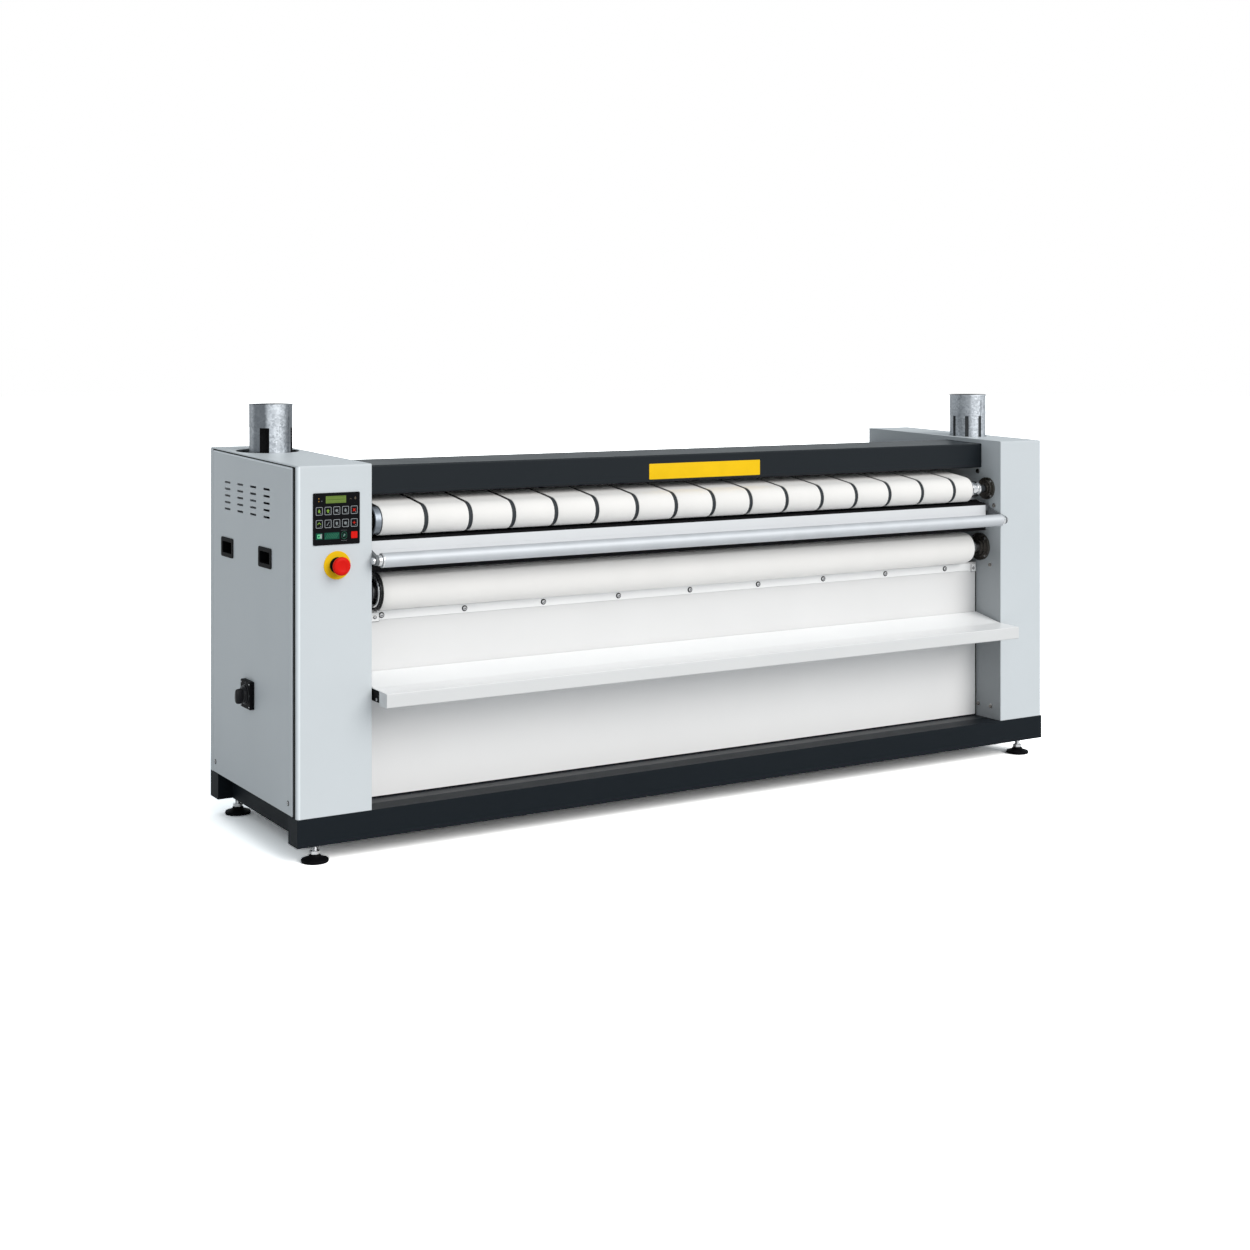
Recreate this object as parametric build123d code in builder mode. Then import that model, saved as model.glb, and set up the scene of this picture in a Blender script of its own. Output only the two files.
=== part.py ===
from build123d import *

import os
from math import asin, atan2, cos, hypot, pi, sin

# A flatwork ironer: two sheet-metal cabinets on a steel base carry a heated cylinder, the rollers of the
# ironing belts, a padded delivery roller, a feed plate and a linen shelf.
# Millimetres. +X runs to the right along the front, the front faces -Y, +Z is up and the floor is Z = 0.
# Depths are measured back from the cabinets' front face, and widths in from a cabinet's inner wall.

# ---------------------------------------------------------------- machine
MACHINE_WIDTH = 3236.0          # over both service panels
LEFT_CABINET_WIDTH = 257.0      # drive and control side
RIGHT_CABINET_WIDTH = 225.0     # burner side
CABINET_DEPTH = 838.0
CABINET_TOP = 1287.0            # at the front edge
TOP_RISE = 24.0                 # the tops climb by this to the rear
BASE_TOP = 156.0
BASE_UNDERSIDE = 64.0
CASING_SHEET = 2.0
PANEL_SHEET = 1.5
SEAT_GAP = 0.3                  # between sheets that are screwed together
RUNNING_GAP = 0.05              # radial, shaft in bore

# ---------------------------------------------------------------- base
BEAM_DEPTH = 80.0
BEAM_WALL = 5.0
RAIL_RECESS = 54.0              # side rails stand in from the beam ends
RAIL_WIDTH = 60.0
BASE_PAN_SHEET = 3.0
FOOT_RADIUS = 45.0
FOOT_PAD_HEIGHT = 18.0
FOOT_STEM_RADIUS = 10.0
FOOT_STEM_LENGTH = 112.0
FOOT_NUT_WIDTH = 30.0           # across flats
FOOT_NUT_HEIGHT = 12.0
FOOT_IN_X = 82.0                # from a machine side to a foot's axis
FOOT_IN_Y = 55.0                # from the front or the rear to a foot's axis

# ---------------------------------------------------------------- side frames
WEB = 6.0                       # side frame plate
FRAME_FLANGE = 40.0
BUSH_LENGTH = 24.0              # plain bushes of the hidden rollers, on the outer side of the web
BUSH_WALL = 10.0

# ---------------------------------------------------------------- casings and service panels
FRONT_RETURN = 28.0             # the front sheet wraps this far round the outer corner
TOP_RETURN = 4.0
PANEL_GAP = 4.5                 # black gap between the casing top and a service panel
PANEL_FRONT_GAP = 14.0          # the wider gap beside the casing front
PANEL_TRAY = 18.0               # depth of the panel's folded edge
PANEL_CORNER = 8.0
REAR_RETURN = 28.0
CASING_CORNER = 10.0
CASING_EDGE = 5.0

VENT_COLUMNS = 4
VENT_ROWS = 5
VENT_LENGTH = 59.0
VENT_HEIGHT = 7.0
VENT_COLUMN_PITCH = 127.5
VENT_ROW_PITCH = 23.2
VENT_CENTRE_DEPTH = 467.0
VENT_CENTRE_Z = 1149.0

HANDLE_WIDTH = 120.0
HANDLE_HEIGHT = 68.0
HANDLE_PITCH = 370.0
HANDLE_CENTRE_DEPTH = 473.0
HANDLE_Z = 968.0
HANDLE_RIM = 12.0
HANDLE_POCKET = 30.0
HANDLE_WALL = 2.0
TRIM_PROUD = 3.0                # handle rims and screw heads stand out by this

SWITCH_PLATE = 95.0             # square
SWITCH_PLATE_THICKNESS = 15.0
SWITCH_DEPTH = 439.0
SWITCH_Z = 490.0
SWITCH_KNOB_RADIUS = 27.0
SWITCH_KNOB_HEIGHT = 35.0
SWITCH_SHAFT_RADIUS = 5.0

# ---------------------------------------------------------------- heated cylinder
CYLINDER_RADIUS = 250.0
CYLINDER_WALL = 8.0
CYLINDER_DEPTH = 435.0
CYLINDER_Z = 895.0
CYLINDER_END_GAP = 30.0         # from a wall to the cylinder's end
CYLINDER_DISC = 16.0
JOURNAL_RADIUS = 60.0
JOURNAL_BORE = 44.0
CYLINDER_FLANGE_RADIUS = 115.0
CYLINDER_FLANGE_THICKNESS = 18.0
CYLINDER_BOSS_RADIUS = 84.0
CYLINDER_BEARING_LENGTH = 52.0
BURNER_RADIUS = 30.0

# ---------------------------------------------------------------- ironing belts and their rollers
BELT_COUNT = 16
BELT_GAP = 13.0
LAST_BELT_WIDTH = 90.0
BELT_THICKNESS = 3.0
BELT_CLEARANCE = 0.3
BELTS_FROM_LEFT = 52.0          # from the left wall to the first belt
BELTS_FROM_RIGHT = 122.0        # from the right wall to the last belt
UPPER_ROLLER_RADIUS = 47.0
UPPER_ROLLER_RIM = 3.0          # the roller ends this far outside the first belt
UPPER_CUP_DEPTH = 12.0          # recess in its left end
UPPER_CUP_WALL = 9.0
UPPER_ROLLER_DEPTH = 78.0
UPPER_ROLLER_Z = 1093.0
UPPER_SHAFT_RADIUS = 15.0
HIDDEN_SHAFT_RADIUS = 12.0
REAR_TOP_RADIUS = 40.0
REAR_TOP_IN = 83.0              # from the rear to the roller's axis
REAR_TOP_Z = 1196.0
REAR_BOTTOM_RADIUS = 35.0
REAR_BOTTOM_IN = 88.0
REAR_BOTTOM_Z = 610.0
LOWER_BELT_RADIUS = 35.0
LOWER_BELT_DEPTH = 240.0
LOWER_BELT_Z = 590.0
ROLLER_TUBE_WALL = 5.0

# ---------------------------------------------------------------- delivery roller
LOWER_ROLLER_RADIUS = 65.0
LOWER_PAD_THICKNESS = 7.0
LOWER_ROLLER_DEPTH = 118.0
LOWER_ROLLER_Z = 852.0
LOWER_SHAFT_RADIUS = 20.0
LOWER_LEFT_GAP = 68.0           # from the left wall to the pad
LOWER_RIGHT_GAP = 85.0
END_FLANGE = 10.0

# ---------------------------------------------------------------- feed plate and front tube
FEED_PLATE_DEPTH = 62.0
FEED_PLATE_TOP = 1034.0
FEED_PLATE_LIP = 40.0
FEED_PLATE_SHEET = 3.0
FEED_BELT_GAP = 8.0             # plate to the underside of the belts
FEED_RUN = 172.0                # length of the sloping part
FEED_END_GAP = 24.0             # from a wall to the plate's end
TUBE_RADIUS = 24.0
TUBE_WALL = 3.0
TUBE_FORWARD = 25.0             # axis in front of the cabinets
TUBE_Z = 972.0
TUBE_PLUG = 30.0                # length of the bearing plug in each end
AXLE_RADIUS = 8.0
BRACKET_PLATE = 10.0
TUBE_SPACER = 12.0              # collar on each end bolt, between the bracket and the tube
SPACER_RADIUS = 17.0

# ---------------------------------------------------------------- hood, covers and front panel
HOOD_DEPTH = 112.0              # front face of the hood behind the cabinet fronts
HOOD_TOP = 1274.0
HOOD_HEIGHT = 98.0
HOOD_LENGTH = 210.0             # front to back
HOOD_RISE = 8.0
HOOD_SHEET = 3.0
COVER_DROP = 20.0               # the top cover lies this far below the hood
COVER_FALL = 16.0               # and falls by this to the rear
COVER_SKIRT = 10.0
PANEL_DEPTH = 145.0
PANEL_TOP = 790.0
FRONT_SHEET = 2.0
REAR_SLOT_LENGTH = 160.0
REAR_SLOT_HEIGHT = 8.0
STRIP_Z = 768.0                 # centre of the clamp strip
STRIP_HEIGHT = 30.0
STRIP_THICKNESS = 4.0
STRIP_LEFT_GAP = 80.0
STRIP_RIGHT_GAP = 41.0
STRIP_SCREWS = 9
STRIP_FIRST_SCREW = 97.0        # from the left wall
STRIP_LAST_SCREW = 173.0        # from the right wall
STRIP_SCREW_RADIUS = 9.0
STRIP_SCREW_HEAD = 5.0
STRIP_SCREW_SHANK = 3.0

# ---------------------------------------------------------------- linen shelf
SHELF_REACH = 110.0             # in front of the cabinets
SHELF_BACK_Z = 583.0
SHELF_KNEE_Z = 554.0
SHELF_FRONT_Z = 551.0
SHELF_LIP = 47.0
SHELF_RETURN = 60.0
SHELF_SHEET = 2.0
SHELF_SIDE_GAP = 4.5
SHELF_BRACKET = 4.0

# ---------------------------------------------------------------- exhausts
DUCT_RADIUS = 75.0
DUCT_WALL = 2.0
DUCT_STEP = 0.6                 # the neck under the spigot is this much smaller in radius
DUCT_TOP = 1470.0
DUCT_WINDOW_HEIGHT = 90.0
LEFT_WINDOWS = (4, 34.0, 52.0)  # windows round the duct, width, and turn of the first
RIGHT_WINDOWS = (8, 15.0, 0.0)
LEFT_DUCT_DEPTH = 578.0
RIGHT_DUCT_DEPTH = 320.0
LEFT_HOLE_RADIUS = 110.0
LEFT_HOLE_BACK = 32.0           # the left hole's centre lies behind its duct
RIGHT_HOLE_RADIUS = 79.0
FAN_AXIS_Z = 1180.0
FAN_BOX_RADIUS = 86.0
FAN_BOX_TOP = 1250.0
FAN_BOX_WIDTH = 140.0
FAN_WHEEL_RADIUS = 70.0
FAN_WHEEL_WIDTH = 60.0
FAN_BLADES = 12
FAN_SHAFT_RADIUS = 8.0

# ---------------------------------------------------------------- chain drive
CHAIN_PITCH = 25.4
CYLINDER_TEETH = 46
DRIVE_TEETH = 13
SPROCKET_THICKNESS = 14.0
SPROCKET_OUT = 124.0            # sprocket plane, outward from the left wall
ROLLER_CUT = 8.0
CHAIN_WIDTH = 22.0
CHAIN_HEIGHT = 20.0
CHAIN_CLEARANCE = 0.5
GEARBOX_Z = 420.0
GEARBOX_SIZE = 150.0
GEARBOX_THICKNESS = 96.0
GEARBOX_BOSS = 6.0
DRIVE_SHAFT_RADIUS = 15.0
MOTOR_RADIUS = 48.0
MOTOR_LENGTH = 230.0

BOARD_BOTTOM = 625.0
BOARD_HEIGHT = 195.0
BOARD_WIDTH = 240.0
BOARD_SHEET = 4.0
BOARD_STANDOFF = 16.0

# ---------------------------------------------------------------- controls
CONTROL_LEFT = 53.0             # from the machine's left side
CONTROL_WIDTH = 161.0
CONTROL_BOTTOM = 1030.0
CONTROL_HEIGHT = 168.0
CONTROL_BEZEL = 3.0             # thickness in front of the casing
CONTROL_BOX_DEPTH = 36.0
DISPLAY_WIDTH = 72.0
DISPLAY_HEIGHT = 25.0
DISPLAY_RIGHT = 78.0            # centre from the panel's left edge
DISPLAY_DOWN = 22.0             # centre from the panel's top edge
KEY_COLUMNS = 5
KEY_ROWS = 2
KEY_SIZE = 24.0
KEY_PITCH_X = 30.2
KEY_PITCH_Z = 41.5
KEY_LIFT = 0.8
STOP_KEY_SIZE = 22.0
STOP_KEY_TRAVEL = 1.5

ESTOP_IN = 136.0                # from the machine's left side
ESTOP_Z = 963.0
ESTOP_PLATE_RADIUS = 46.0
ESTOP_PLATE_THICKNESS = 2.0
ESTOP_COLLAR_RADIUS = 20.0
ESTOP_COLLAR_HEIGHT = 19.0
ESTOP_HEAD_RADIUS = 30.0
ESTOP_HEAD_HEIGHT = 20.0
ESTOP_TRAVEL = 5.0
ESTOP_STEM_RADIUS = 6.0

WALL_BOLT_RADIUS = 8.0
WALL_BOLT_HEAD = 6.0
SCREW_HEAD_RADIUS = 7.0

# ---------------------------------------------------------------- places worked out from the sizes
KNOB_PROUD = SWITCH_PLATE_THICKNESS + SWITCH_KNOB_HEIGHT
X_LEFT = (KNOB_PROUD - MACHINE_WIDTH - TRIM_PROUD) / 2
X_RIGHT = X_LEFT + MACHINE_WIDTH
WALL_LEFT = X_LEFT + LEFT_CABINET_WIDTH       # inner face of the left cabinet
WALL_RIGHT = X_RIGHT - RIGHT_CABINET_WIDTH
CENTRE_WIDTH = WALL_RIGHT - WALL_LEFT
CENTRE_X = (WALL_LEFT + WALL_RIGHT) / 2
Y_FRONT = (SHELF_REACH - CABINET_DEPTH) / 2
Y_REAR = Y_FRONT + CABINET_DEPTH
Y_UPPER = Y_FRONT + UPPER_ROLLER_DEPTH
Y_LOWER = Y_FRONT + LOWER_ROLLER_DEPTH
Y_CYLINDER = Y_FRONT + CYLINDER_DEPTH
Y_TUBE = Y_FRONT - TUBE_FORWARD
BELT_START = WALL_LEFT + BELTS_FROM_LEFT
BELT_PITCH = (CENTRE_WIDTH - BELTS_FROM_LEFT - BELTS_FROM_RIGHT - LAST_BELT_WIDTH) / (BELT_COUNT - 1)
STRIP_SCREW_PITCH = (CENTRE_WIDTH - STRIP_FIRST_SCREW - STRIP_LAST_SCREW) / (STRIP_SCREWS - 1)
LAST_BELT_X = BELT_START + (BELT_COUNT - 1) * BELT_PITCH
BELT_END = LAST_BELT_X + LAST_BELT_WIDTH
PAD_LEFT = WALL_LEFT + LOWER_LEFT_GAP
PAD_RIGHT = WALL_RIGHT - LOWER_RIGHT_GAP
PITCH_BIG = CHAIN_PITCH / (2 * sin(pi / CYLINDER_TEETH))
PITCH_SMALL = CHAIN_PITCH / (2 * sin(pi / DRIVE_TEETH))
X_SPROCKET = WALL_LEFT - SPROCKET_OUT
X_ESTOP = X_LEFT + ESTOP_IN
X_CONTROL = X_LEFT + CONTROL_LEFT + CONTROL_WIDTH / 2
CONTROL_Z = CONTROL_BOTTOM + CONTROL_HEIGHT / 2
CONTROL_FACE = Y_FRONT - CONTROL_BEZEL
FOOT_X = (X_LEFT + FOOT_IN_X, X_RIGHT - FOOT_IN_X)
FOOT_Y = (Y_FRONT + FOOT_IN_Y, Y_REAR - FOOT_IN_Y)

# each hidden roller as (depth, height, radius)
REAR_TOP = (Y_REAR - REAR_TOP_IN, REAR_TOP_Z, REAR_TOP_RADIUS)
REAR_BOTTOM = (Y_REAR - REAR_BOTTOM_IN, REAR_BOTTOM_Z, REAR_BOTTOM_RADIUS)
LOWER_BELT = (Y_FRONT + LOWER_BELT_DEPTH, LOWER_BELT_Z, LOWER_BELT_RADIUS)

# bolts on the inner walls as (depth, height)
WALL_BOLTS = ((38.0, 1025.0), (60.0, 782.0), (134.0, 1160.0), (57.0, 206.0), (130.0, 206.0))


class Cabinet:
    """One end of the machine: its outer face, its inner wall, and the way from the wall outward."""

    def __init__(self, outer, wall, duct_depth, hole_radius, hole_back, windows):
        self.outer = outer
        self.wall = wall
        self.out = -1 if outer < wall else 1
        self.width = abs(wall - outer)
        self.duct_x = (outer + wall) / 2
        self.duct_y = Y_FRONT + duct_depth
        self.hole_radius = hole_radius
        self.hole_y = self.duct_y + hole_back
        self.windows = windows


LEFT = Cabinet(X_LEFT, WALL_LEFT, LEFT_DUCT_DEPTH, LEFT_HOLE_RADIUS, LEFT_HOLE_BACK, LEFT_WINDOWS)
RIGHT = Cabinet(X_RIGHT, WALL_RIGHT, RIGHT_DUCT_DEPTH, RIGHT_HOLE_RADIUS, 0.0, RIGHT_WINDOWS)


def top_at(y):
    """Height of the cabinets' sloping top at a depth."""
    return CABINET_TOP + TOP_RISE * (y - Y_FRONT) / CABINET_DEPTH


def save(part, name):
    part.label = name
    export_step(part, f"parts/{name}.step")


def block(x, y, z, mode=Mode.ADD):
    """A box between two values on each axis, in the part that is being built."""
    with Locations((sum(x) / 2, sum(y) / 2, sum(z) / 2)):
        Box(abs(x[1] - x[0]), abs(y[1] - y[0]), abs(z[1] - z[0]), mode=mode)


def rod(x, y, z, radius, mode=Mode.ADD):
    """A round bar along X between two values."""
    with Locations(Location((sum(x) / 2, y, z), (0, 90, 0))):
        Cylinder(radius, abs(x[1] - x[0]), mode=mode)


def wrap_points(circles, outward):
    """Where a closed loop meets each circle: start, middle and end of its arc.

    A circle is (y, z, r): r is positive where the loop turns left round it and negative where it turns
    right. outward moves the whole loop to its right-hand side.
    """
    headings = []
    for i, (y, z, r) in enumerate(circles):
        y2, z2, r2 = circles[(i + 1) % len(circles)]
        headings.append(atan2(z2 - z, y2 - y) - asin((r2 - r) / hypot(y2 - y, z2 - z)))
    arcs = []
    for i, (y, z, r) in enumerate(circles):
        reach = r + outward
        arrive = headings[i - 1]
        turn = (headings[i] - arrive) % (2 * pi)
        if r < 0:
            turn -= 2 * pi
        arcs.append([(y + reach * sin(arrive + turn * s), z - reach * cos(arrive + turn * s)) for s in (0, 0.5, 1)])
    return arcs


def draw_loop(circles, outward):
    arcs = wrap_points(circles, outward)
    for i, (start, middle, end) in enumerate(arcs):
        ThreePointArc(start, middle, end)
        Line(end, arcs[(i + 1) % len(arcs)][0])


def beam_end_to_end(y):
    """A hollow steel beam over the whole width, capped at its ends, with a hole for a foot near each end."""
    with BuildPart() as beam:
        with BuildSketch(Plane.YZ.offset(X_LEFT)):
            with Locations((y, (BASE_TOP + BASE_UNDERSIDE) / 2)):
                Rectangle(BEAM_DEPTH, BASE_TOP - BASE_UNDERSIDE)
        extrude(amount=MACHINE_WIDTH)
        with BuildSketch(Plane.YZ.offset(X_LEFT + BEAM_WALL)):
            with Locations((y, (BASE_TOP + BASE_UNDERSIDE) / 2)):
                Rectangle(BEAM_DEPTH - 2 * BEAM_WALL, BASE_TOP - BASE_UNDERSIDE - 2 * BEAM_WALL)
        extrude(amount=MACHINE_WIDTH - 2 * BEAM_WALL, mode=Mode.SUBTRACT)
        foot_y = FOOT_Y[0] if y < 0 else FOOT_Y[1]
        for x in FOOT_X:
            with Locations((x, foot_y, BASE_UNDERSIDE)):
                Cylinder(FOOT_STEM_RADIUS + RUNNING_GAP, 2 * BEAM_WALL + 2, mode=Mode.SUBTRACT)
    return beam.part


def side_rails():
    """The two short beams that join the front and rear beams."""
    with BuildPart() as rails:
        for side in (LEFT, RIGHT):
            x = side.outer - side.out * RAIL_RECESS
            block((x, x - side.out * RAIL_WIDTH), (Y_FRONT + BEAM_DEPTH, Y_REAR - BEAM_DEPTH), (BASE_UNDERSIDE, BASE_TOP))
    return rails.part


def base_pan():
    """Sheet that closes the base between the cabinets, let in between the beams."""
    with BuildPart() as pan:
        block((WALL_LEFT, WALL_RIGHT), (Y_FRONT + BEAM_DEPTH, Y_REAR - BEAM_DEPTH), (BASE_TOP - BASE_PAN_SHEET, BASE_TOP))
    return pan.part


def levelling_foot(x, y):
    """Round pad with a domed hub, a stem that screws into the beam, a nut on the pad and one at the beam."""
    with BuildPart() as foot:
        with BuildSketch(Plane.XZ):
            with BuildLine():
                Polyline(
                    (0, 0), (FOOT_RADIUS - 3, 0), (FOOT_RADIUS, 3), (FOOT_RADIUS, 9), (0.6 * FOOT_RADIUS, FOOT_PAD_HEIGHT - 2),
                    (FOOT_STEM_RADIUS, FOOT_PAD_HEIGHT + 4), (FOOT_STEM_RADIUS, FOOT_STEM_LENGTH), (0, FOOT_STEM_LENGTH),
                    close=True,
                )
            make_face()
        revolve(axis=Axis.Z)
        for nut_z in (FOOT_PAD_HEIGHT + 2, BASE_UNDERSIDE - FOOT_NUT_HEIGHT):
            with BuildSketch(Plane.XY.offset(nut_z)):
                RegularPolygon(FOOT_NUT_WIDTH / 2, 6, major_radius=False)
            extrude(amount=FOOT_NUT_HEIGHT)
    return foot.part.moved(Location((x, y, 0)))


def side_frame(side):
    """Inner wall of a cabinet: a plate with a flange at the front and rear, bearing holes and bushes."""
    y_edges = (Y_FRONT + CASING_SHEET, Y_REAR - PANEL_SHEET)
    outer = side.wall + side.out * WEB
    with BuildPart() as frame:
        with BuildSketch(Plane.YZ.offset(side.wall)):
            with BuildLine():
                Polyline(
                    (y_edges[0], BASE_TOP), (y_edges[1], BASE_TOP), (y_edges[1], top_at(y_edges[1]) - CASING_SHEET),
                    (y_edges[0], top_at(y_edges[0]) - CASING_SHEET), close=True,
                )
            make_face()
            with Locations((Y_CYLINDER, CYLINDER_Z)):
                Circle(JOURNAL_RADIUS + 6, mode=Mode.SUBTRACT)
            with Locations((Y_UPPER, UPPER_ROLLER_Z)):
                Circle(UPPER_SHAFT_RADIUS + 5, mode=Mode.SUBTRACT)
            with Locations((Y_LOWER, LOWER_ROLLER_Z)):
                Circle(LOWER_SHAFT_RADIUS + 5, mode=Mode.SUBTRACT)
            for y, z, _ in (REAR_TOP, REAR_BOTTOM, LOWER_BELT):
                with Locations((y, z)):
                    Circle(HIDDEN_SHAFT_RADIUS + RUNNING_GAP, mode=Mode.SUBTRACT)
        extrude(amount=side.out * WEB)
        for y, way in ((y_edges[0], 1), (y_edges[1], -1)):
            top = top_at(y) - CASING_SHEET - 8
            block((outer, outer + side.out * FRAME_FLANGE), (y, y + way * WEB), (BASE_TOP, top))
        with BuildSketch(Plane.YZ.offset(outer)):
            for y, z, _ in (REAR_TOP, REAR_BOTTOM, LOWER_BELT):
                with Locations((y, z)):
                    Circle(HIDDEN_SHAFT_RADIUS + BUSH_WALL)
                    Circle(HIDDEN_SHAFT_RADIUS + RUNNING_GAP, mode=Mode.SUBTRACT)
        extrude(amount=side.out * BUSH_LENGTH)
    return frame.part


def casing(side):
    """Front and top sheet of a cabinet in one fold, open inward, down, to the rear and to the service panel."""
    void_x = (side.outer - side.out * CASING_SHEET, side.wall)
    with BuildPart() as shell:
        with BuildSketch(Plane.YZ.offset(side.outer)):
            Polygon(
                (Y_FRONT, BASE_TOP), (Y_REAR, BASE_TOP), (Y_REAR, top_at(Y_REAR)), (Y_FRONT, CABINET_TOP), align=None
            )
        extrude(amount=-side.out * side.width)
        corner = shell.edges().filter_by(Axis.Z).group_by(Axis.Y)[0].sort_by(Axis.X)
        fillet(corner[0] if side is LEFT else corner[-1], CASING_CORNER)
        fillet(shell.faces().sort_by(Axis.Z)[-1].edges().sort_by(Axis.Y)[0], CASING_EDGE)
        void = [
            (Y_FRONT + CASING_SHEET, BASE_TOP - 1), (Y_REAR + 1, BASE_TOP - 1),
            (Y_REAR + 1, top_at(Y_REAR + 1) - CASING_SHEET),
            (Y_FRONT + CASING_SHEET, top_at(Y_FRONT + CASING_SHEET) - CASING_SHEET),
        ]
        with BuildSketch(Plane.YZ.offset(void_x[0])):
            Polygon(*void, align=None)
        extrude(amount=void_x[1] - void_x[0], mode=Mode.SUBTRACT)
        door = [
            (Y_FRONT + FRONT_RETURN, BASE_TOP - 1), (Y_REAR + 1, BASE_TOP - 1),
            (Y_REAR + 1, top_at(Y_REAR + 1) - TOP_RETURN), (Y_FRONT + FRONT_RETURN, top_at(Y_FRONT) - TOP_RETURN),
        ]
        with BuildSketch(Plane.YZ.offset(side.outer)):
            Polygon(*door, align=None)
        extrude(amount=-side.out * CASING_CORNER, mode=Mode.SUBTRACT)
        with Locations((side.duct_x, side.hole_y, CABINET_TOP)):
            Cylinder(side.hole_radius, 4 * TOP_RISE, mode=Mode.SUBTRACT)
        if side is LEFT:
            half_w = CONTROL_WIDTH / 2 - 6
            half_h = CONTROL_HEIGHT / 2 - 6
            block(
                (X_CONTROL - half_w, X_CONTROL + half_w), (Y_FRONT - 1, Y_FRONT + CASING_SHEET + 1),
                (CONTROL_Z - half_h, CONTROL_Z + half_h), mode=Mode.SUBTRACT,
            )
            with Locations(Location((X_ESTOP, Y_FRONT, ESTOP_Z), (90, 0, 0))):
                Cylinder(ESTOP_COLLAR_RADIUS - 6, 10, mode=Mode.SUBTRACT)
    return shell.part


def service_panel(side):
    """Lift-off tray with vent slots and holes for its handles; the left one also carries the main switch."""
    y0 = Y_FRONT + FRONT_RETURN + PANEL_FRONT_GAP
    y1 = Y_REAR - REAR_RETURN
    drop = TOP_RETURN + PANEL_GAP
    middle_y = (y0 + y1) / 2
    with BuildPart() as tray:
        with BuildSketch(Plane.YZ.offset(side.outer)):
            Polygon((y0, BASE_TOP), (y1, BASE_TOP), (y1, top_at(y1) - drop), (y0, top_at(y0) - drop), align=None)
        extrude(amount=-side.out * PANEL_TRAY)
        fillet(tray.edges().filter_by(Axis.X), PANEL_CORNER)
        outside = tray.faces().sort_by(Axis.X)[0 if side is LEFT else -1]
        fillet(outside.edges(), 2.5)
        inset = PANEL_SHEET
        with BuildSketch(Plane.YZ.offset(side.outer - side.out * PANEL_SHEET)):
            Polygon(
                (y0 + inset, BASE_TOP + inset), (y1 - inset, BASE_TOP + inset), (y1 - inset, top_at(y1) - drop - inset),
                (y0 + inset, top_at(y0) - drop - inset), align=None,
            )
            fillet(vertices(), PANEL_CORNER - inset)
        extrude(amount=-side.out * PANEL_TRAY, mode=Mode.SUBTRACT)
        with BuildSketch(Plane.YZ.offset(side.outer)):
            with Locations((Y_FRONT + VENT_CENTRE_DEPTH, VENT_CENTRE_Z)):
                with GridLocations(VENT_COLUMN_PITCH, VENT_ROW_PITCH, VENT_COLUMNS, VENT_ROWS):
                    SlotOverall(VENT_LENGTH, VENT_HEIGHT)
            with Locations((Y_FRONT + HANDLE_CENTRE_DEPTH, HANDLE_Z)):
                with GridLocations(HANDLE_PITCH, 1, 2, 1):
                    Rectangle(HANDLE_WIDTH - 2 * HANDLE_RIM + 0.4, HANDLE_HEIGHT - 2 * HANDLE_RIM + 0.4)
            if side is LEFT:
                with Locations((Y_FRONT + SWITCH_DEPTH, SWITCH_Z)):
                    Circle(SWITCH_SHAFT_RADIUS + 2)
        extrude(amount=-side.out * 2 * PANEL_SHEET, mode=Mode.SUBTRACT)
    return tray.part


def cabinet_rear_covers():
    """Back sheets of both cabinets, each with a return round the outer corner."""
    with BuildPart() as covers:
        for side in (LEFT, RIGHT):
            x_in = side.wall + side.out * (WEB + SEAT_GAP)
            top = top_at(Y_REAR - REAR_RETURN) - CASING_SHEET - SEAT_GAP
            x_rim = side.outer - side.out * (CASING_SHEET + SEAT_GAP)
            skin = (side.outer, side.outer - side.out * PANEL_SHEET)
            return_top = top_at(Y_REAR - REAR_RETURN) - TOP_RETURN - SEAT_GAP
            block((x_rim, x_in), (Y_REAR - PANEL_SHEET, Y_REAR), (BASE_TOP, top))
            block((side.outer, x_rim), (Y_REAR - PANEL_SHEET, Y_REAR), (BASE_TOP, return_top))
            block(skin, (Y_REAR - REAR_RETURN + SEAT_GAP, Y_REAR), (BASE_TOP, return_top))
    return covers.part


def hood():
    """Dark beam over the upper roller: a folded sheet, open below."""
    front = Y_FRONT + HOOD_DEPTH
    rear = front + HOOD_LENGTH
    with BuildPart() as beam:
        with BuildSketch(Plane.YZ.offset(WALL_LEFT + SEAT_GAP)):
            with BuildLine():
                FilletPolyline(
                    (front + 34, HOOD_TOP - HOOD_HEIGHT), (front, HOOD_TOP - HOOD_HEIGHT), (front, HOOD_TOP),
                    (rear, HOOD_TOP + HOOD_RISE), (rear, HOOD_TOP + HOOD_RISE - 40), radius=5,
                )
                offset(amount=HOOD_SHEET, side=Side.RIGHT)
            make_face()
        extrude(amount=CENTRE_WIDTH - 2 * SEAT_GAP)
    return beam.part


def top_cover():
    """Sheet over the cylinder, from the hood to the rear."""
    front = Y_FRONT + HOOD_DEPTH + HOOD_LENGTH
    top = HOOD_TOP + HOOD_RISE - COVER_DROP
    with BuildPart() as cover:
        with BuildSketch(Plane.YZ.offset(WALL_LEFT + SEAT_GAP)):
            with BuildLine():
                FilletPolyline(
                    (front + SEAT_GAP, top - COVER_SKIRT), (front + SEAT_GAP, top),
                    (Y_REAR - PANEL_SHEET, top - COVER_FALL), (Y_REAR - PANEL_SHEET, top - COVER_FALL - COVER_SKIRT), radius=3,
                )
                offset(amount=FRONT_SHEET, side=Side.RIGHT)
            make_face()
        extrude(amount=CENTRE_WIDTH - 2 * SEAT_GAP)
    return cover.part


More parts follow.
